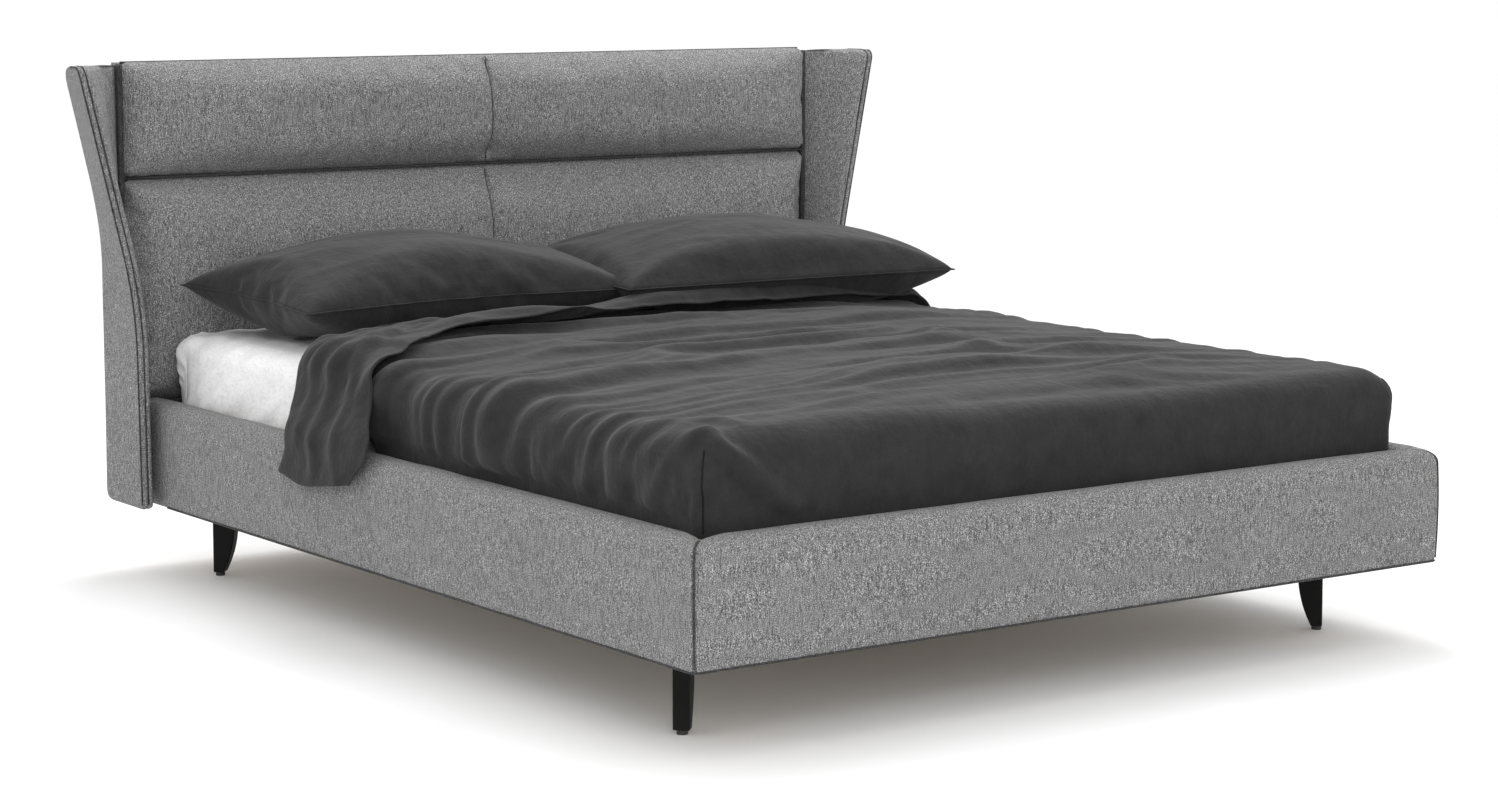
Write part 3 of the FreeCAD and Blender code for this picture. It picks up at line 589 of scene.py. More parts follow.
def rail_ring():
    """The padded rail's section as (outwards from its inner face, height)."""
    low, high = FLOOR_GAP, RAIL_TOP - RAIL_SWELL
    wide = RAIL_THICK - RAIL_SWELL
    ring = rounded_ring([(0, low), (wide, low), (wide, high), (0, high)], RAIL_RADII,
                        arc=9, run=9)
    share = (ring[:, 1] - low) / (high - low)
    outward = smooth(0.6, 1.0, ring[:, 0] / wide)
    upward = smooth(0.85, 1.0, share)
    ring[:, 0] += RAIL_SWELL * outward * np.sin(np.pi * share)
    ring[:, 1] += RAIL_SWELL * upward * np.sin(np.pi * ring[:, 0] / wide)
    return ring


def ring_normals(ring):
    ahead = np.roll(ring, -1, 0) - np.roll(ring, 1, 0)
    normal = np.stack([ahead[:, 1], -ahead[:, 0]], 1)
    return normal / np.linalg.norm(normal, axis=1, keepdims=True)


def notch(ring):
    """How far the rail's top dips at a mitre, for each point of its section."""
    high = smooth(RAIL_TOP - 0.05, RAIL_TOP, ring[:, 1])
    return NOTCH_DEPTH * high * (1 - 0.6 * smooth(0, RAIL_THICK, ring[:, 0]))


def rail_stations(length, both_ends):
    near = np.array([0, 0.0015, 0.003, 0.005, 0.008, 0.012, 0.018, 0.026, 0.036, 0.05])
    far = length - near[::-1] if both_ends else np.array([length - 0.004, length - 0.001, length])
    return np.concatenate([near, np.arange(0.07, length - 0.06, 0.02), far])


def rail(name, length, place, both_ends, seed):
    """A padded rail; place(out, along, height) gives the point in the frame."""
    ring = rail_ring()
    normals = ring_normals(ring)
    rings = []
    for along in rail_stations(length, both_ends):
        gap = min(along, length - along) if both_ends else along
        inset = SEAM_DEPTH * (1 - smooth(0, SEAM_REACH, gap)) ** 1.5
        if not both_ends:
            inset = max(inset, 0.004 * (1 - smooth(0, 0.006, length - along)))
        uneven = 0.0009 * noise(along, ring[:, 1], ring[:, 0], (0.11, 0.09, 0.2), seed)
        section = ring + normals * (uneven - inset)[:, None]
        section[:, 1] -= (1 - smooth(0, NOTCH_REACH, gap)) * notch(ring)
        rings.append([place(out, along / length, height) for out, height in section])
    return loft(name, rings)


def side_place(sign, end):
    def place(out, share, height):
        start = FOOT_FACE + RAIL_THICK - out
        return (sign * (RAIL_INNER + out), start + share * (end - start), height)
    return place


def foot_place(out, share, height):
    half = RAIL_INNER + out
    return (-half + share * 2 * half, FOOT_FACE + RAIL_THICK - out, height)


def flip_if_needed(obj):
    """Make every face look outwards."""
    shape = bmesh.new()
    shape.from_mesh(obj.data)
    bmesh.ops.recalc_face_normals(shape, faces=shape.faces)
    shape.to_mesh(obj.data)
    shape.free()
    return obj


def build_rails():
    end = RAIL_HIGH[1]
    length = end - FOOT_FACE
    for name, run, place, both_ends, seed in (
            ("left", length, side_place(-1, end), False, 3),
            ("right", length, side_place(1, end), False, 4),
            ("foot", 2 * RAIL_OUTER, foot_place, True, 5)):
        obj = flip_if_needed(rail(f"{name}_rail_upholstery", run, place, both_ends, seed))
        dress(obj, "upholstery", replaces=[f"{name}_rail_cover"])
    ring = rail_ring()
    seam = ring - ring_normals(ring) * (SEAM_DEPTH - 0.0012)
    seam[:, 1] -= notch(ring)
    seam = seam[(ring[:, 0] > 0.15 * RAIL_THICK) & (ring[:, 1] > FLOOR_GAP + 0.008)]
    for name, sign in SIDES:
        line = [(sign * (RAIL_INNER + out), FOOT_FACE + RAIL_THICK - out, z) for out, z in seam]
        # the mitre seam is darkened as painted shade in the seam
        welt(f"{name}_mitre_seam", line, 0.0020)
    inset, radius = 0.003, 0.0022
    x, y, z = RAIL_OUTER - inset, FOOT_FACE + inset, FLOOR_GAP + inset
    side = np.linspace(end - 0.16, y + 0.012, 60)
    line = [(-x, v, z) for v in side]
    line += [(-x + 0.004, y + 0.004, z)]
    line += [(v, y, z) for v in np.linspace(-x + 0.012, x - 0.012, 60)]
    line += [(x - 0.004, y + 0.004, z)]
    line += [(x, v, z) for v in side[::-1]]
    # the bottom welt is darkened as painted shade under the rail's edge
    welt("rail_bottom_welt", line, radius)


# ------------------------------------------------------------------ wings

WING_OFFSET = 0.05
WING_THICK = 0.028
WING_FOAM = 0.009
WING_PROJECTION = 0.10
WING_RAKE = 0.03
WING_LEAN = math.tan(math.radians(13.1))
WING_BEND = 0.58
WING_BEND_RISE = 0.17
WING_SPREAD = 0.055
WING_TOP = WING_HIGH[2]
WING_INNER = WING_LOW[0]
WING_BACK = WING_HIGH[1]
CUSHION_FACE = box("headboard_upper_cushion")[0][1]
CORE_FRONT = CORE_LOW[1]
BEND_SOFTNESS = 0.11
BAND_SEAM = 0.015
WING_FRONT_ROUND, WING_FOOT_ROUND, WING_HEEL_ROUND = 0.022, 0.010, 0.030
WING_TAIL_ROUND = (0.042, 0.070)          # how tall and how deep the top rear corner is
WING_RIM = 0.010


def soft_ramp(value, reach):
    """Zero below -reach, value above reach, and an even bend between."""
    bend = (value + reach) ** 2 / (4 * reach)
    return np.where(value >= reach, value, np.where(value <= -reach, 0.0, bend))


def wing_outer(y, z):
    share = np.clip((y - (CUSHION_FACE - WING_PROJECTION))
                    / (WING_BACK - CUSHION_FACE + WING_PROJECTION), 0, 1)
    start = WING_BEND + share * WING_BEND_RISE
    return RAIL_OUTER + WING_OFFSET + WING_LEAN * soft_ramp(z - start, BEND_SOFTNESS)


def rounding(past_end, tall, deep):
    """How far a rounded corner, this tall and deep, has drawn back near the wing's end."""
    share = min(1.0, max(0.0, (past_end + tall) / tall))
    return deep * (1 - math.sqrt(1 - share ** 2))


def wing_limits(z):
    """The wing's front and back at a height, with its rounded corners."""
    rise = (z - FLOOR_GAP) / (WING_TOP - FLOOR_GAP)
    front = CUSHION_FACE - WING_PROJECTION + WING_RAKE * rise
    back = WING_BACK
    above, below = z - WING_TOP, FLOOR_GAP - z
    front += rounding(above, WING_FRONT_ROUND, WING_FRONT_ROUND) \
        + rounding(below, WING_FOOT_ROUND, WING_FOOT_ROUND)
    back -= rounding(above, *WING_TAIL_ROUND) + rounding(below, WING_HEEL_ROUND, WING_HEEL_ROUND)
    return front, back


def wing_corners(z):
    front, back = wing_limits(z)
    out_front, out_back = wing_outer(front, z), wing_outer(back, z)
    share = max(0.0, z - WING_BEND) / (WING_TOP - WING_BEND)
    slant = WING_SPREAD * share / (CORE_FRONT - CUSHION_FACE)
    turn_in = CORE_FRONT if back > CORE_FRONT + 0.002 else (back + CUSHION_FACE) / 2
    inner = [(WING_INNER + slant * max(0.0, CORE_FRONT - y), y)
             for y in (back, turn_in, CUSHION_FACE)]
    return np.array([(out_front, front), (out_back, back), *inner,
                     (out_front - WING_THICK, front)])


WING_RADII = (0.007, 0.010, 0.006, 0.003, 0.010, 0.009)


def wing_heights():
    steps = np.array([0, 0.0008, 0.002, 0.004, 0.007, 0.011, 0.016, 0.022, 0.030])
    return np.concatenate([FLOOR_GAP + steps, np.arange(FLOOR_GAP + 0.045, WING_TOP - 0.035, 0.015),
                           WING_TOP - steps[::-1]])


def wing(sign, name, seed):
    rings = []
    for z in wing_heights():
        corners = wing_corners(z)
        inset = rounding(-min(z - FLOOR_GAP, WING_TOP - z), WING_RIM, WING_RIM)
        ring = rounded_ring(corners, WING_RADII, arc=6, run=11)
        normals = ring_normals(ring)
        on_band = np.clip(1 - np.abs(ring[:, 1] - corners[0, 1]) / 0.004, 0, 1)
        from_outer = corners[0, 0] - ring[:, 0]
        swell = 0.0022 * on_band * np.sin(np.pi * np.clip(from_outer / WING_THICK, 0, 1)) ** 0.6
        groove = 0.0035 * on_band * bell(from_outer - BAND_SEAM, 0.0026)
        side_groove = 0.0022 * bell(ring[:, 1] - corners[0, 1] - 0.010, 0.0025) \
            * (from_outer < 0.008)
        pad = 0.004 * smooth(0.02, 0.09, ring[:, 1] - corners[0, 1]) \
            * smooth(0.0, 0.03, CUSHION_FACE - ring[:, 1]) * (from_outer > 0.015)
        uneven = 0.0010 * noise(ring[:, 0], ring[:, 1], z, (0.14, 0.10, 0.12), seed)
        out = swell - groove - side_groove + pad * 0.5 + uneven - inset
        ring = ring + normals * out[:, None]
        rings.append([(sign * x, y, z) for x, y in ring])
    obj = flip_if_needed(loft(f"{name}_wing_upholstery", rings))
    return dress(obj, "upholstery", replaces=[f"{name}_wing_cover"])


def drawn_in(corners, inset):
    """A polygon's corners moved inwards, keeping its sides parallel."""
    ahead = np.roll(corners, -1, 0) - corners
    ahead /= np.linalg.norm(ahead, axis=1, keepdims=True)
    after = np.stack([-ahead[:, 1], ahead[:, 0]], 1)
    before = np.roll(after, 1, 0)
    return corners + inset * (after + before) / (1 + (after * before).sum(1))[:, None]


def wing_board(sign, name):
    """The wing's board, drawn to the wing's own rounded outline inside the padding."""
    rings = []
    for z in wing_heights():
        share = (z - FLOOR_GAP) / (WING_TOP - FLOOR_GAP)
        corners = drawn_in(wing_corners(z), WING_FOAM)
        ring = rounded_ring(corners, (0.0008,) * 6, arc=3, run=6)
        height = FLOOR_GAP + WING_FOAM + share * (WING_TOP - FLOOR_GAP - 2 * WING_FOAM)
        rings.append([(sign * x, y, height) for x, y in ring])
    dress(flip_if_needed(loft(f"{name}_wing_plywood", rings)), "plywood",
          replaces=[f"{name}_wing_board"])


def wing_piping(sign, name):
    """Two welts up the front band and over the top, darkened as painted shade so they read as dark
    lines.
    """
    heights = np.concatenate([np.arange(FLOOR_GAP + 0.012, WING_TOP - 0.03, 0.02),
                              WING_TOP - np.array([0.026, 0.02, 0.014, 0.009, 0.005, 0.002])])
    outer, band = [], []
    for z in heights:
        corners = wing_corners(z)
        x, y = corners[0]
        outer.append((sign * (x - 0.0010), y + 0.0012, z))
        band.append((sign * (x - BAND_SEAM), y + 0.0004, z))
    over = np.linspace(0.012, 1, 14)
    front, back = wing_limits(WING_TOP)
    top = WING_TOP - 0.0005
    for share in over:
        y = front + (back - front) * share
        x = wing_outer(y, WING_TOP)
        outer.append((sign * (x - 0.004), y, top - 0.0015))
        if share < 0.75:
            band.append((sign * (x - BAND_SEAM), y, top))
    for label, line in (("outer", outer), ("band", band)):
        welt(f"{name}_wing_{label}_piping", line, 0.0019)


def build_wings():
    for (name, sign), seed in zip(SIDES, (11, 12)):
        wing(sign, name, seed)
        wing_board(sign, name)
        wing_piping(sign, name)


# ------------------------------------------------------------------ headboard

CUSHION_ROLL = 0.020
CUSHION_SLACK = 0.016
CUSHION_CAP = 0.026          # the furthest the simulation may push a panel out
CUSHION_CELL = 0.009


def cushion(name, node, seed):
    """A padded headboard panel with a seam up its middle, blown up by the cloth simulation."""
    low, high = box(node)
    half = high[0] + 0.002
    if low[2] < RAIL_TOP + 0.02:
        low[2] = RAIL_TOP - 0.010
    tall = high[2] - low[2]
    back = high[1] - 0.001
    face = CUSHION_FACE + 0.012
    wall = back - face - CUSHION_ROLL
    reach = CUSHION_ROLL * math.pi / 2 + wall
    flat_u = (-half + CUSHION_ROLL, half - CUSHION_ROLL)
    flat_v = (CUSHION_ROLL, tall - CUSHION_ROLL)
    seam = np.array([-0.009, -0.006, -0.003, 0, 0.003, 0.006, 0.009])
    arm = np.linspace(0.015, flat_u[1], round(flat_u[1] / CUSHION_CELL))
    us = np.concatenate([np.linspace(flat_u[0] - reach, flat_u[0], 9)[:-1],
                         -arm[::-1], seam, arm,
                         np.linspace(flat_u[1], flat_u[1] + reach, 9)[1:]])
    vs = np.concatenate([np.linspace(flat_v[0] - reach, flat_v[0], 9)[:-1],
                         np.linspace(*flat_v, round((flat_v[1] - flat_v[0]) / CUSHION_CELL)),
                         np.linspace(flat_v[1], flat_v[1] + reach, 9)[1:]])
    su, sv = np.meshgrid(us, vs, indexing="ij")
    shape, _, depth = rolled(su, sv, flat_u, flat_v, CUSHION_ROLL)
    points = np.stack([shape[..., 0], face - shape[..., 2], low[2] + shape[..., 1]], -1)
    rows, columns = su.shape
    border = edge_loop(rows, columns)
    faces = grid_faces(rows, columns, flip=True)
    obj = mesh_object(name + "_try", points.reshape(-1, 3), faces)
    rest = coordinates(obj)
    held = np.where(depth > CUSHION_ROLL * math.pi / 2 + wall * 0.4, 1.0, 0.0).ravel()
    if SIMULATE:
        moved = settle(obj, frames=20, pressure=4.0, grow=CUSHION_SLACK, pins=held,
                       bending=0.8) - rest
        size = np.linalg.norm(moved, axis=1, keepdims=True)
        moved *= CUSHION_CAP * np.tanh(size / CUSHION_CAP) / np.maximum(size, 1e-9)
    else:
        crown = np.sin(np.pi * np.clip(sv / tall, 0, 1)) ** 0.7 \
            * (1 - 0.75 * np.exp(-np.abs(su) / 0.03)) * smooth(half + 0.01, half - 0.10, np.abs(su))
        moved = np.zeros_like(rest)
        moved[:, 1] = -0.020 * np.clip(crown, 0, 1).ravel()
    bpy.data.objects.remove(obj)
    final = rest + moved
    sink = 0.0065 * bell(su, 0.0040) + 0.003 * bell(su, 0.030)
    final[:, 1] += (sink * smooth(CUSHION_ROLL * 1.3, CUSHION_ROLL * 0.4, depth)).ravel()
    final[:, 1] += (0.0012 * noise(su, 0.0, sv, (0.13, 1, 0.11), seed) * (depth <= 0)).ravel()
    final[:, 0] = np.clip(final[:, 0], -half, half)
    final[:, 2] = np.clip(final[:, 2], low[2] - 0.0015, high[2])
    column = int(np.argmin(np.abs(us)))
    line = final.reshape(rows, columns, 3)[column][3:-3] - [0, 0.0006, 0]
    # a thin welt in the seam, darkened as painted shade in the groove
    welt(name.replace("upholstery", "seam"), line, 0.0013, sides=6)
    middle = len(final)
    faces += [(middle, a, b) for a, b in zip(border, border[1:] + border[:1])]
    obj = mesh_object(name, np.vstack([final, (0, back, low[2] + tall / 2)]), faces)
    return dress(flip_if_needed(obj), "upholstery", replaces=[node])


def back_cover():
    """Fabric over the headboard's back, turned forwards over the top of its board."""
    top = box("headboard_upper_cushion")[1][2] - 0.001
    gap = 0.0006
    half = BACK_HIGH[0] - 0.001
    inner_top = CORE_HIGH[2] + gap
    corners = [(BACK_HIGH[1], BACK_LOW[2]), (BACK_HIGH[1], top), (CORE_FRONT + 0.001, top),
               (CORE_FRONT + 0.001, inner_top), (CORE_HIGH[1] + gap, inner_top),
               (CORE_HIGH[1] + gap, BACK_LOW[2])]
    radii = (0.004, 0.009, 0.003, 0.0008, 0.0008, 0.003)
    rings = []
    xs = np.concatenate([[-half, -half + 0.001, -half + 0.003],
                         np.linspace(-half + 0.01, half - 0.01, 90),
                         [half - 0.003, half - 0.001, half]])
    for x in xs:
        ring = rounded_ring(corners, radii, arc=5, run=24)
        normals = ring_normals(ring)
        inset = 0.003 * (1 - smooth(0, 0.004, half - abs(x)))
        outside = smooth(BACK_HIGH[1] - 0.004, BACK_HIGH[1], ring[:, 0])
        swell = 0.0012 * noise(x, 0.0, ring[:, 1], (0.2, 1, 0.16), 31) * outside
        ring = ring - normals * (inset + 0.001 - swell)[:, None] \
            * np.where(ring[:, 0] > CORE_HIGH[1] + 0.003, 1, 0)[:, None]
        rings.append([(x, y, z) for y, z in ring])
    obj = flip_if_needed(loft("headboard_back_upholstery", rings))
    dress(obj, "upholstery", replaces=["headboard_back_cover"])
    line = [(x, CORE_FRONT - 0.003, top + 0.0002)
            for x in np.linspace(-half + 0.006, half - 0.006, 90)]
    # the top welt is darkened as painted shade along the top edge
    welt("headboard_top_welt", line, 0.0028)


def across_bed(y, z, x):
    return (x, y, z)


def gap_linings():
    """Fabric turned in behind the split and behind the cushions' ends, darkened as painted shade
    for the gaps.
    """
    lower, upper = box("headboard_lower_cushion"), box("headboard_upper_cushion")
    front, back = CORE_FRONT - 0.020, CORE_FRONT - 0.0006
    z0, z1, half = lower[1][2] + 0.0002, upper[0][2] - 0.0002, lower[1][0]
    lining("cushion_split_lining", rectangle(front, back, z0, z1), (0.0012,) * 4,
           across_bed, np.linspace(-half, half, 60))
    for name, sign in SIDES:
        def upright(x, y, z, sign=sign):
            return (sign * x, y, z)
        lining(f"{name}_cushion_end_lining",
               rectangle(half + 0.0006, WING_INNER + 0.0070, front, back), (0.0012,) * 4,
               upright, np.linspace(lower[0][2] - 0.01, upper[1][2] - 0.006, 60))
        lining(f"{name}_core_end_lining",
               rectangle(half + 0.0045, half + 0.0066, CORE_FRONT - 0.001, CORE_HIGH[1] + 0.001),
               (0.0004,) * 4, upright,
               np.linspace(CORE_HIGH[2] - 0.09, CORE_HIGH[2] + 0.0012, 40))


def head_rail_lining():
    """Fabric over the cross rail behind the mattress, darkened as painted shade in the gap."""
    low, high = box("head_cross_rail")
    top, front, back = high[2] + 0.0004, low[1] - 0.0016, CORE_FRONT - 0.0005
    section = [(front, top - 0.06), (front + 0.0012, top - 0.06), (front + 0.0012, top),
               (back, top), (back, top + 0.0014), (front, top + 0.0014)]
    lining("head_rail_lining", section, (0.0003, 0.0003, 0.0002, 0.0005, 0.0005, 0.0010),
           across_bed, np.linspace(low[0], high[0], 50), run=4)


def build_headboard():
    head_rail_lining()
    gap_linings()
    for level, seed in (("upper", 21), ("lower", 22)):
        cushion(f"{level}_cushion_upholstery", f"headboard_{level}_cushion", seed)
    back_cover()


# ------------------------------------------------------------------ mattress and sheet

MATTRESS_ROLL = 0.045


def block_grid(low, high, roll, drop, cell, edge_cells):
    """Lengths along the cloth for a panel over a block, and its flat part."""
    flat_u, flat_v = (low[0] + roll, high[0] - roll), (low[1] + roll, high[1] - roll)
    lines = []
    for flat in (flat_u, flat_v):
        fine = np.linspace(0, drop, edge_cells + 1)[1:]
        lines.append(np.concatenate([flat[0] - fine[::-1],
                                     np.linspace(*flat, round((flat[1] - flat[0]) / cell)),
                                     flat[1] + fine]))
    su, sv = np.meshgrid(*lines, indexing="ij")
    return su, sv, flat_u, flat_v


def build_mattress():
    low, high = MATTRESS_LOW + 0.002, MATTRESS_HIGH - 0.002
    half_tall = (high[2] - low[2]) / 2
    drop = MATTRESS_ROLL * math.pi / 2 + half_tall - MATTRESS_ROLL
    su, sv, flat_u, flat_v = block_grid(low, high, MATTRESS_ROLL, drop, 0.05, 12)
    points, normals, depth = rolled(su, sv, flat_u, flat_v, MATTRESS_ROLL)
    rows, columns = su.shape
    tuft = 0.004 * np.cos(su * 2 * np.pi / 0.2) * np.cos(sv * 2 * np.pi / 0.2) * (depth <= 0)
    upper = points + [0, 0, high[2]] - normals * (0.004 + tuft * 0.5)[..., None]
    lower = points * [1, 1, -1] + [0, 0, low[2]]
    obj, _, _ = sewn("mattress_pad", upper, lower, rows, columns, (low[2] + high[2]) / 2)
    subdivide(obj)
    dress(obj, "ticking", body="mattress", replaces=["mattress"])
    ring = rounded_ring(rectangle(low[0] + 0.012, high[0] - 0.012, low[1] + 0.012,
                                  high[1] - 0.012), (0.035,) * 4, arc=8, run=20)
    welt("mattress_lower_tape", [(x, y, low[2] + 0.016) for x, y in ring], 0.004, closed=True,
         slot="ticking", body="mattress", finish="ticking")


def folds(x, y, lengths, seed, sharp=1.0):
    """Creases from 0 to 1: narrow crests with wide hollows between them."""
    first = noise(x, y, 0.0, (*lengths, 1.0), seed)
    second = noise(x, y, 5.3, (lengths[0] * 0.55, lengths[1] * 0.5, 1.0), seed + 1)
    crest = 1 - np.abs(first + 0.25 * second) * 1.6
    return np.clip(crest, 0, 1) ** (1.6 * sharp)


def softened(field, passes):
    """A grid of values evened out with its neighbours."""
    for _ in range(passes):
        field = np.pad(field, 1, mode="edge")
        field = (field[:-2] + 2 * field[1:-1] + field[2:])[:, 1:-1] / 4
        field = np.pad(field, 1, mode="edge")
        field = (field[:, :-2] + 2 * field[:, 1:-1] + field[:, 2:])[1:-1] / 4
    return field


def build_sheet():
    low, high = SHEET_LOW.copy(), SHEET_HIGH.copy()
    roll = MATTRESS_ROLL + 0.002
    drop = roll * math.pi / 2 + (high[2] - low[2] - roll)
    su, sv, flat_u, flat_v = block_grid(low, high, roll, drop, 0.012, 26)
    points, normals, depth = rolled(su, sv, flat_u, flat_v, roll)
    a = np.abs(su) - flat_u[1]
    b = np.maximum(sv - flat_v[1], flat_v[0] - sv)
    to_corner = np.hypot(np.minimum(a, 0), np.minimum(b, 0))
    near = np.exp(-to_corner / 0.22)
    lean = sv - 0.55 * depth * np.sign(sv) + su
    wall = smooth(0.01, 0.05, depth)
    side = folds(lean + 0.03 * noise(su, sv, 1.0, (0.2, 0.2, 1), 41), depth * 0.3, (0.065, 0.12),
                 42, sharp=1.2)
    turned = folds(np.where(a > b, sv, su), depth * 0.2, (0.028, 0.10), 46, sharp=1.1)
    top = folds(su + 0.8 * sv * np.sign(su), sv - 0.8 * su * np.sign(su), (0.05, 0.35), 44)
    lift = 0.0210 * wall * side * (0.30 + 0.70 * near)
    lift += 0.0080 * wall * turned * near ** 1.2
    lift += 0.0100 * (1 - wall) * top * near
    lift = softened(lift, 1)
    hem = smooth(drop - 0.02, drop, depth)
    lift *= 0.12 + 0.88 * smooth(0.10, 0.45, sv)
    puckers = np.abs(noise(su, sv, 2.0, (0.012, 0.012, 1), 47))
    lift = lift * (1 - 0.6 * hem) + 0.0018 * hem * puckers
    middle = points + [0, 0, high[2]] + normals * (lift - 0.0006)[..., None]
    obj = flip_if_needed(thick_sheet("white_fitted_sheet", middle, 0.0012, normals))
    dress(obj, "white_cotton", body="mattress", replaces=["fitted_sheet"])


# ------------------------------------------------------------------ duvet

# Lengths are along the cloth: su across the bed, sv and t up it, t from the foot's face.
DUVET_ROLL = 0.052
DUVET_HALF = 0.8125
DUVET_FOOT = MATTRESS_LOW[1] - 0.009
TUCKED_DROP = 0.245
SHORT_DROP = 0.165
FLAP_DROP = 0.268
UNTUCKED = 0.075             # how much less the turned-back part hangs on the right
FOOT, MAIN, TURN, BAND = range(4)          # the kinds of row, from the foot to the free edge
LEFT_CELLS, TOP_CELLS, RIGHT_CELLS = 42, 164, 26
FOOT_ROWS, MAIN_ROWS, TURN_ROWS, BAND_ROWS = 32, 196, 9, 44
LOFT = 0.016
DUVET_BASE = SHEET_HIGH[2] + LOFT / 2 + 0.001


def path_table(corners, radii, cell=0.002):
    """A path with rounded corners as lengths, points and outward normals."""
    corners = [np.array(c, float) for c in corners]
    points = [corners[0]]
    for k in range(1, len(corners) - 1):
        p, a, b = corners[k], corners[k - 1] - corners[k], corners[k + 1] - corners[k]
        a, b = a / np.linalg.norm(a), b / np.linalg.norm(b)
        half = math.acos(float(np.clip(a @ b, -1, 1))) / 2
        turn = math.pi - 2 * half
        centre = p + (a + b) / np.linalg.norm(a + b) * radii[k - 1] / math.sin(half)
        first = p + a * radii[k - 1] / math.tan(half) - centre
        last = p + b * radii[k - 1] / math.tan(half) - centre
        for s in np.linspace(0, 1, 14):
            points.append(centre + (math.sin((1 - s) * turn) * first
                                    + math.sin(s * turn) * last) / math.sin(turn))
    points.append(corners[-1])
    points = np.array(points)
    lengths = np.concatenate([[0], np.cumsum(np.linalg.norm(np.diff(points, axis=0), axis=1))])
    even = np.arange(0, lengths[-1], cell)
    line = np.stack([np.interp(even, lengths, points[:, k]) for k in range(2)], 1)
    ahead = np.gradient(line, axis=0)
    normal = np.stack([-ahead[:, 1], ahead[:, 0]], 1)
    normal /= np.linalg.norm(normal, axis=1, keepdims=True)
    return even, line, normal


def over_rail_path():
    """Across the duvet's left edge: outwards distance and height, over the rail and down."""
    rail_z = RAIL_TOP + 0.012 - DUVET_BASE
    rail_x = RAIL_OUTER + 0.0075 - (DUVET_HALF - DUVET_ROLL)
    return path_table([(0, 0), (0.030, -0.001), (0.074, rail_z * 0.52),
                       (rail_x, rail_z), (rail_x, rail_z - 0.16)], (0.05, 0.16, 0.040))


# where the duvet's head end folds back, and where the folded part ends, as (across, t)
FOLD_LINE = [(-1.12, 1.430), (-1.03, 1.412), (-0.985, 1.386), (-0.95, 1.378), (-0.915, 1.400),
             (-0.86, 1.430), (-0.80, 1.452), (-0.72, 1.485), (-0.55, 1.585), (-0.42, 1.635),
             (-0.115, 1.675), (0.20, 1.69), (0.50, 1.70), (0.85, 1.68), (1.05, 1.66)]
FREE_EDGE = [(-1.12, 1.18), (-1.03, 1.13), (-0.955, 1.062), (-0.91, 1.10), (-0.855, 1.13),
             (-0.81, 1.145), (-0.755, 1.195), (-0.63, 1.295), (-0.54, 1.355), (-0.46, 1.375),
             (-0.31, 1.40), (-0.107, 1.455), (0.08, 1.472), (0.20, 1.476), (0.34, 1.480),
             (0.50, 1.486), (0.70, 1.510), (0.85, 1.545), (1.05, 1.56)]
HEM_SHIFT = [(1.00, -0.012), (1.12, -0.010), (1.21, 0.000), (1.34, 0.012), (1.40, 0.000)]
BAND_CREASES = (
    ([(-0.60, 1.44), (-0.80, 1.30), (-1.00, 1.26)], 0.0095, 0.013),
    ([(-0.66, 1.38), (-0.82, 1.22), (-1.01, 1.17)], 0.0080, 0.012),
    ([(-0.50, 1.50), (-0.74, 1.40), (-0.95, 1.33)], 0.0070, 0.013),
)


def duvet_relief(su, t):
    """How high the duvet's folds stand, over lengths along its cloth."""
    left = np.maximum(0, -su - 0.72)
    swept = t - 0.42 * left + 0.10 * (su / 0.8) ** 2 \
        + 0.03 * noise(su, t, 0.0, (0.5, 0.35, 1), 51)
    long = folds(su, swept, (0.75, 0.115), 52, sharp=1.3)
    mid = folds(su + 0.1 * t, swept, (0.55, 0.066), 55, sharp=1.1)
    edge = smooth(-0.55, -0.80, su)
    flat_foot = smooth(0.02, 0.30, t)
    height = (0.0210 + 0.0110 * edge) * long * (0.25 + 0.75 * flat_foot)
    height += (0.0100 + 0.0050 * edge) * mid * flat_foot
    fine = folds(su + 0.15 * t, swept, (0.30, 0.032), 65, sharp=0.9)
    height += (0.0034 + 0.0016 * edge) * fine * flat_foot
    height += 0.0020 * noise(su, t, 0.0, (0.09, 0.05, 1), 58)
    height += 0.005 * (noise(su, t, 0.0, (0.45, 0.40, 1), 59))
    height *= 1 - 0.6 * smooth(0.35, 0.72, su)
    corner = (-0.775, 0.105)          # where the folds at the left foot corner meet
    rays = ([(-0.785, 0.078), (-0.70, 0.018), (-0.58, -0.065)], 0.0280, 0.012), \
           ([(-0.77, 0.02), (-0.70, -0.04)], -0.0090, 0.024), \
           ([corner, (-0.86, 0.17), (-0.98, 0.235)], 0.0080, 0.012), \
           ([corner, (-0.84, 0.235), (-0.98, 0.36)], 0.0080, 0.016), \
           ([(-0.70, 0.14), (-0.83, 0.33), (-0.98, 0.50)], 0.0070, 0.016), \
           ([corner, (-0.55, 0.13), (-0.30, 0.10)], 0.0035, 0.020)
    for line, tall, wide in rays:
        away, along = off_line(su, t, line)
        height += tall * bell(away, wide) * (1 - 0.5 * along)
    return height


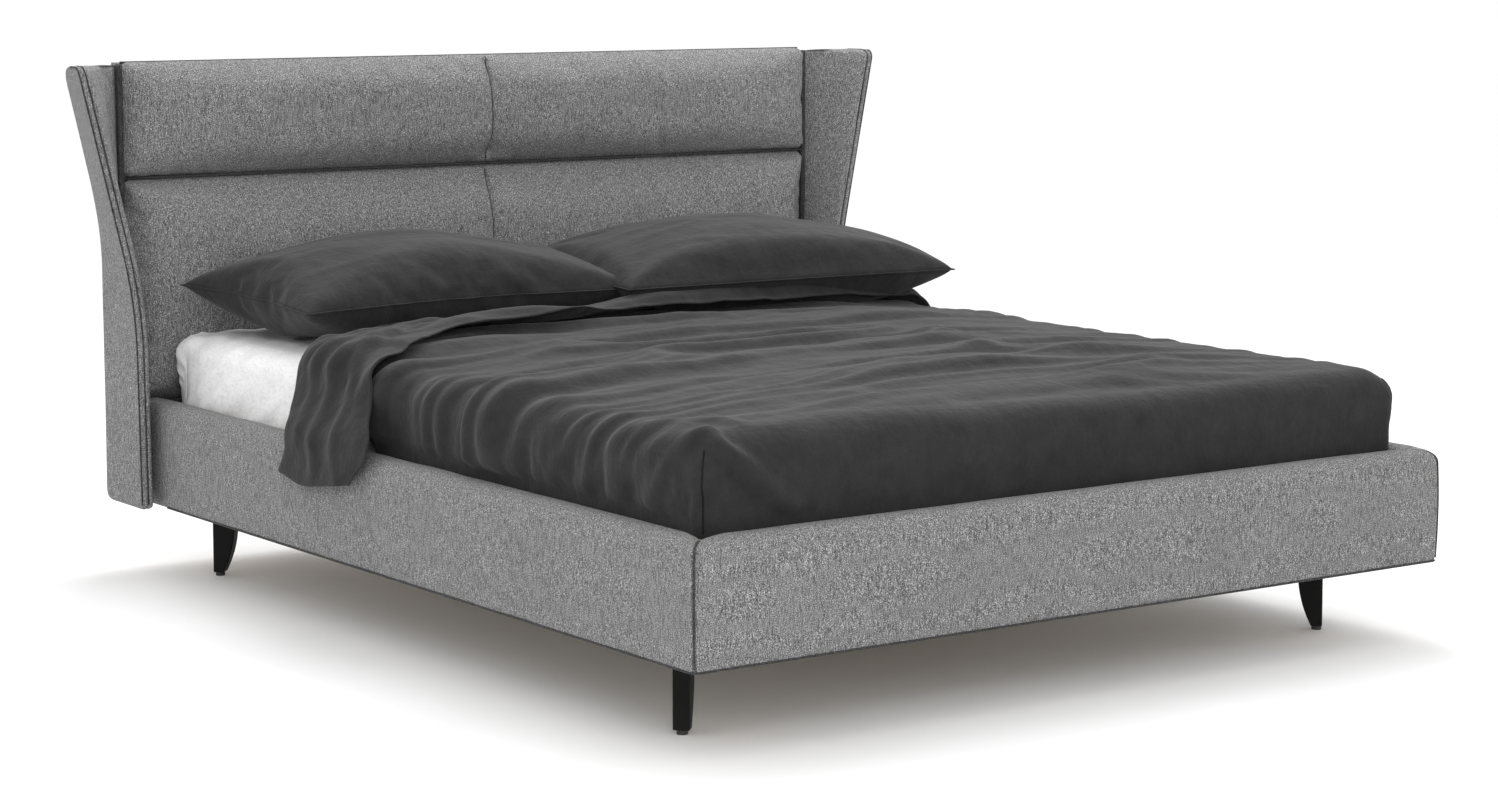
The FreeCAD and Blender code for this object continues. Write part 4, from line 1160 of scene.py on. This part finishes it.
def duvet_rows(flat_u, foot_line):
    """The cloth's grid: lengths across and up, height of the turned part, and each row's kind."""
    share = np.concatenate([np.linspace(1, 0, LEFT_CELLS + 1)[:-1], np.zeros(TOP_CELLS + 1),
                            np.linspace(0, 1, RIGHT_CELLS + 1)[1:]])
    flat = np.concatenate([np.full(LEFT_CELLS, flat_u[0]), np.linspace(*flat_u, TOP_CELLS + 1),
                           np.full(RIGHT_CELLS, flat_u[1])])
    side = np.concatenate([-np.ones(LEFT_CELLS), np.zeros(TOP_CELLS + 1), np.ones(RIGHT_CELLS)])
    even_u = flat + side * share * np.where(side < 0, FLAP_DROP, TUCKED_DROP)
    fold_y = spread(FOLD_LINE, even_u) + FOOT_FACE
    free_y = spread(FREE_EDGE, even_u) + FOOT_FACE
    flap_share = smooth(0.17, 0.22, share * FLAP_DROP) * (side < 0)
    radius = (LOFT / 2 + 0.0015) * (1 - flap_share) + 0.0066 * flap_share
    rows = []

    def add(kind, left_drop, right_drop, y, lift=0.0):
        across = flat + side * share * np.where(side < 0, left_drop, right_drop)
        rows.append((across, y + 0 * flat, lift + 0 * flat, kind + 0 * flat))

    for k in range(FOOT_ROWS):
        add(FOOT, TUCKED_DROP, TUCKED_DROP, foot_line - TUCKED_DROP * (1 - k / FOOT_ROWS))
    for k in range(MAIN_ROWS + 1):
        y = foot_line + k / MAIN_ROWS * (fold_y - foot_line)
        tucked = 1 - smooth(1.15, 1.19, y - FOOT_FACE)
        left_drop = SHORT_DROP + (TUCKED_DROP - SHORT_DROP) * tucked \
            + (FLAP_DROP - SHORT_DROP) * smooth(0.065, 0.03, fold_y - y)
        add(MAIN, left_drop, TUCKED_DROP, y)
    for k in range(1, TURN_ROWS + 1):
        angle = math.pi * k / (TURN_ROWS + 1)
        add(TURN, FLAP_DROP, TUCKED_DROP - UNTUCKED * k / TURN_ROWS,
            fold_y + radius * math.sin(angle), radius * (1 - math.cos(angle)))
    for k in range(BAND_ROWS + 1):
        add(BAND, FLAP_DROP, TUCKED_DROP - UNTUCKED, fold_y + k / BAND_ROWS * (free_y - fold_y),
            2 * radius)
    su, sv, lift, kind = np.array(rows).transpose(1, 0, 2)
    hem_shift = side * share * spread(HEM_SHIFT, sv - FOOT_FACE)
    su = su + np.where((side < 0) & (kind > MAIN), hem_shift, 0)
    return su, sv, lift, kind[:, :1], fold_y, free_y


def duvet_corner_seams(surface):
    """Near-black lines up the two foot corners, painted shade in the seams, sampled from the
    duvet's own surface.
    """
    share = np.linspace(0.20, 0.74, 48)
    row = FOOT_ROWS * (1 - share)
    for name, column in (("left", LEFT_CELLS * (1 - share)),
                         ("right", LEFT_CELLS + TOP_CELLS + RIGHT_CELLS * share)):
        i, j = row.astype(int), column.astype(int)
        di, dj = (row - i)[:, None], (column - j)[:, None]
        line = (surface[i, j] * (1 - di) * (1 - dj) + surface[i + 1, j] * di * (1 - dj)
                + surface[i, j + 1] * (1 - di) * dj + surface[i + 1, j + 1] * di * dj)
        welt(f"duvet_{name}_corner_seam", line, 0.0017, sides=6, slot="charcoal_linen",
             body="duvet", finish="painted_seam_shade")


def squared_corners(su, sv, flat_u, flat_v, depth):
    """How far the foot corners stand out past a plain roll, with a dent at each seam."""
    out = 0.0
    past_foot = flat_v[0] - sv
    for past in (flat_u[0] - su, su - flat_u[1]):
        turn = np.arctan2(np.maximum(past_foot, 0), np.maximum(past, 1e-6))
        turn = np.where((past > 0) & (past_foot > 0), np.minimum(turn, math.pi / 2 - turn), 0)
        square = DUVET_ROLL * (1 / np.cos(turn) - 1) * smooth(0.035, 0.085, depth)
        seam = bell((math.pi / 4 - turn) * (DUVET_ROLL + 0.02), 0.0045)
        out = out + 0.92 * square - 0.0075 * seam * smooth(0.05, 0.09, depth)
    return out


def over_left_rail(su, over, points, normals, flat_left):
    """The part that hangs out over the left rail, blended in where over is 1."""
    lengths, line, across = over_rail_path()
    d = np.clip(flat_left - su, 0, lengths[-1])
    out, high, n_out, n_up = (np.interp(d, lengths, values)
                              for values in (*line.T, *across.T))
    flap = np.stack([flat_left - out, points[..., 1], DUVET_BASE + high], -1)
    flap_normal = np.stack([-n_out, np.zeros_like(n_out), n_up], -1)
    points = points + over[..., None] * (flap - points)
    normals = normals + over[..., None] * (flap_normal - normals)
    return points, normals / np.linalg.norm(normals, axis=-1, keepdims=True), d


def band_folds(su, t, band_share, hung_in):
    """Height of the creases, the loose roll and the folds on the turned-back band."""
    rise = (0.007 + 0.012 * smooth(-0.62, -0.50, su) * smooth(0.05, -0.25, su)) \
        * smooth(0.35, 1.0, band_share) * smooth(-0.98, -0.86, su)
    roll = smooth(-0.16, 0.10, su) * smooth(0.84, 0.66, su) * smooth(0.45, 0.78, band_share) \
        * (1 - 0.85 * smooth(0.88, 1.0, band_share))
    rise = rise + roll * (0.024 + 0.008 * noise(su, 0.0, 0.0, (0.16, 1, 1), 62))
    for line, tall, wide in BAND_CREASES:
        rise = rise + tall * bell(off_line(su, t, line)[0], wide)
    wander = 0.02 * noise(su, 0.0, 0.0, (0.3, 1, 1), 63)
    rise = rise + 0.0065 * folds(su, band_share * 0.35 + wander, (0.45, 0.085), 64) \
        * (1 - 0.85 * hung_in)
    return 0.25 * duvet_relief(su, t + 3.0 + 0.5 * su) * (1 - 0.7 * hung_in) + rise


def build_duvet():
    flat_u = (-DUVET_HALF + DUVET_ROLL, DUVET_HALF - DUVET_ROLL)
    flat_v = (DUVET_FOOT + DUVET_ROLL, 9.0)
    su, sv, lift, kind, fold_y, free_y = duvet_rows(flat_u, flat_v[0])
    t = sv - FOOT_FACE
    points, normals, depth = rolled(su, np.minimum(sv, flat_v[1]), flat_u, flat_v, DUVET_ROLL)
    points[..., 2] += DUVET_BASE
    over = np.where(kind < TURN, smooth(1.17, 1.25, t), 1.0) * (su < flat_u[0])
    on_flap = over > 0.5
    points, normals, d = over_left_rail(su, over, points, normals, flat_u[0])
    hung_in = smooth(0.02, 0.11, d)
    crown = smooth(0, 0.30, np.minimum(DUVET_HALF - np.abs(points[..., 0]),
                                       points[..., 1] - DUVET_FOOT))
    points[..., 2] += (0.014 * crown - 0.006) * (depth < DUVET_ROLL * 1.57) \
        * smooth(DUVET_ROLL * 1.57, 0, depth)
    relief = softened(duvet_relief(su, t), 1)
    tucked_part = smooth(0.140, 0.168, depth) * (~on_flap | (kind < BAND))
    relief = relief * (1 - tucked_part) * (1 - 0.88 * over * hung_in)
    band_share = np.clip((fold_y - sv) / np.maximum(fold_y - free_y, 1e-6), 0, 1)
    turned = np.where(kind == TURN, np.cumsum(kind == TURN)[:, None] / (TURN_ROWS + 1), 0)
    blend = np.where(kind == BAND, 1.0, turned)
    total = relief * (1 - blend) \
        + blend * (np.maximum(0, relief) * 0.75 + band_folds(su, t, band_share, hung_in))
    total = 0.5 * (total + np.sqrt(total * total + 0.002 ** 2))
    hung = over * smooth(0.05, 0.13, d)
    total = total * (1 - hung) + 0.013 * np.tanh(total / 0.013) * hung
    total = softened(total, 1) + lift + squared_corners(su, sv, flat_u, flat_v, depth)
    middle = points + normals * total[..., None]

    thinner = np.where(on_flap & (kind > FOOT), 0.30, 0.55)
    thick = LOFT * (1 - thinner * smooth(0.10, 0.14, depth))
    from_edge = np.abs(sv - free_y)
    hemmed = thick * (0.25 + 0.75 * smooth(0.0, 0.05, from_edge)) \
        - 0.0012 * bell(from_edge - 0.009, 0.003)
    thick = np.where(kind == BAND, hemmed, thick)
    duvet_corner_seams(middle + grid_normals(middle) * (thick / 2)[..., None])
    obj = flip_if_needed(thick_sheet("charcoal_duvet", middle, thick))
    dress(obj, "charcoal_linen", body="duvet", replaces=["duvet"])


# ------------------------------------------------------------------ pillows

SQUASH = 0.022               # the height over the sheet where a pillow starts to flatten


def pillow(name, node, centre, turn, tilt, seed, size, wide=0.86, deep=0.57):
    """Two pieces of cloth sewn round their edge and blown up by the cloth simulation.

    They are then evened out with their mirror images, stretched to size, pleated and laid down."""
    columns, rows = 88, 58
    x = np.linspace(-wide / 2, wide / 2, columns)
    y = np.linspace(-deep / 2, deep / 2, rows)
    gx, gy = np.meshgrid(x, y, indexing="ij")
    window = (1 - (2 * gx / wide) ** 2) * (1 - (2 * gy / deep) ** 2)
    dome, bulge = (0.020, 1) if SIMULATE else (0.105, 0.45)
    height = 0.001 + dome * np.clip(window, 0, 1) ** bulge
    height = height + 0.003 * noise(gx, gy, 0.0, (0.12, 0.10, 1), seed) * window
    upper, lower = (np.stack([gx, gy, way * height], -1) for way in (1, -1))
    obj, used, place = sewn(name, upper, lower, columns, rows, 0.0)
    if SIMULATE:
        set_coordinates(obj, settle(obj, frames=44, volume=0.030, stiffness=20, bending=0.6,
                                    damping=6.0))
    order = [place[index] for index in range(2 * columns * rows)]
    sheets = coordinates(obj)[order].reshape(2, columns, rows, 3)
    even = (sheets + sheets[::-1] * [1, 1, -1]) / 2
    even = (even + even[:, ::-1] * [-1, 1, 1]) / 2
    even = (even + even[:, :, ::-1] * [1, -1, 1]) / 2
    sheets = even + (sheets - even) * 0.35
    sheets *= np.array(size) / np.ptp(sheets.reshape(-1, 3), axis=0)
    in_x, in_y = wide / 2 - np.abs(gx), deep / 2 - np.abs(gy)
    reach, fan = np.hypot(in_x, in_y), np.arctan2(in_y, in_x)
    quarter = 1.7 * np.sign(gx) + 2.9 * np.sign(gy)
    pleats = 0.0055 * bell(reach - 0.10, 0.075) * np.abs(np.sin(5 * fan + quarter))
    slack = 0.0060 * folds(gx, gy, (0.30, 0.10), seed + 7) \
        + 0.004 * noise(gx, gy, 0, (0.2, 0.2, 1), seed)
    wrinkled = window * slack + np.sqrt(window) * pleats
    sheets[0, ..., 2] += wrinkled
    sheets[1, ..., 2] -= wrinkled
    points = sheets.reshape(-1, 3)[used]
    c, s = math.cos(math.radians(tilt)), math.sin(math.radians(tilt))
    points = points @ np.array([[1, 0, 0], [0, c, -s], [0, s, c]]).T
    c, s = math.cos(math.radians(turn)), math.sin(math.radians(turn))
    points = points @ np.array([[c, -s, 0], [s, c, 0], [0, 0, 1]]).T
    points = points + np.array(centre)
    floor = SHEET_HIGH[2] + 0.002
    gap = points[:, 2] - floor
    points[:, 2] = floor + np.where(gap > SQUASH, gap, SQUASH * np.exp((gap - SQUASH) / SQUASH))
    set_coordinates(obj, points)
    line = points[[place[index] for index in edge_loop(columns, rows)]]
    subdivide(obj)
    dress(obj, "charcoal_linen", body=node, replaces=[node])
    welt(f"{node}_seam", line, 0.0016, sides=6, closed=True, slot="charcoal_linen", body=node,
         finish="charcoal_linen")


def build_pillows():
    pillow("charcoal_pillow_left", "pillow_left", (-0.385, FOOT_FACE + 1.80, 0.617), 3, 2, 61,
           (0.83, 0.53, 0.222))
    pillow("charcoal_pillow_right", "pillow_right", (0.425, FOOT_FACE + 1.745, 0.622), -3, 2, 67,
           (0.86, 0.53, 0.215))


# ------------------------------------------------------------------ CAD parts that stay

def finish_hard_parts():
    """Every CAD node still shown gets its slot's procedural finish."""
    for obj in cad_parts.values():
        if obj.hide_render:
            continue
        for index, entry in enumerate(obj.material_slots):
            name = entry.material.name.split(".")[0] if entry.material else ""
            obj.material_slots[index].material = FINISH.get(name, FINISH["plywood"])


# ------------------------------------------------------------------ studio

def studio():
    size, segments = 60.0, 24
    steps = np.linspace(-1, 1, segments)
    gx, gy = np.meshgrid(steps * size, steps * size, indexing="ij")
    floor = mesh_object("studio_floor", np.stack([gx, gy, 0 * gx], -1).reshape(-1, 3),
                        grid_faces(segments, segments, flip=True))
    flip_if_needed(floor)
    s = Shader("studio_white")
    s.colour(s.ramp(s.noise((3, 3, 3), detail=2.0), [(0.3, 0.89), (0.7, 0.91)]))
    floor.data.materials.append(s.finish(Roughness=0.9, Specular_IOR_Level=0.1))
    world = bpy.data.worlds.new("studio_world")
    world.use_nodes = True
    world.node_tree.nodes["Background"].inputs["Color"].default_value = (1, 1, 1, 1)
    world.node_tree.nodes["Background"].inputs["Strength"].default_value = 1.12
    bpy.context.scene.world = world
    lights = (("overhead", (0.9, 1.2, 3.6), (0.0, 0.0, 0.35), 3.2, 98),
              ("front_left", (-3.4, -5.4, 3.0), (0.0, 0.3, 0.6), 2.4, 92))
    for name, place, aim, size, power in lights:
        light = bpy.data.lights.new(name, "AREA")
        light.shape, light.size, light.energy = "SQUARE", size, power
        obj = bpy.data.objects.new(name, light)
        obj.location = place
        obj.rotation_euler = (Vector(aim) - Vector(place)).to_track_quat("-Z", "Y").to_euler()
        bpy.context.scene.collection.objects.link(obj)
    camera = bpy.data.cameras.new("camera")
    camera.sensor_width, camera.lens, camera.shift_y = 36.0, 79.38, -0.07
    camera.clip_start, camera.clip_end = 0.1, 200
    obj = bpy.data.objects.new("camera", camera)
    obj.location = (-3.885, -5.492, 1.346)
    obj.rotation_euler = (math.radians(90 - 6.05), 0, math.radians(-35.32))
    bpy.context.scene.collection.objects.link(obj)
    bpy.context.scene.camera = obj
    bpy.context.scene.view_settings.view_transform = "Standard"


build_rails()
build_wings()
build_headboard()
build_mattress()
build_sheet()
build_duvet()
build_pillows()
finish_hard_parts()
studio()
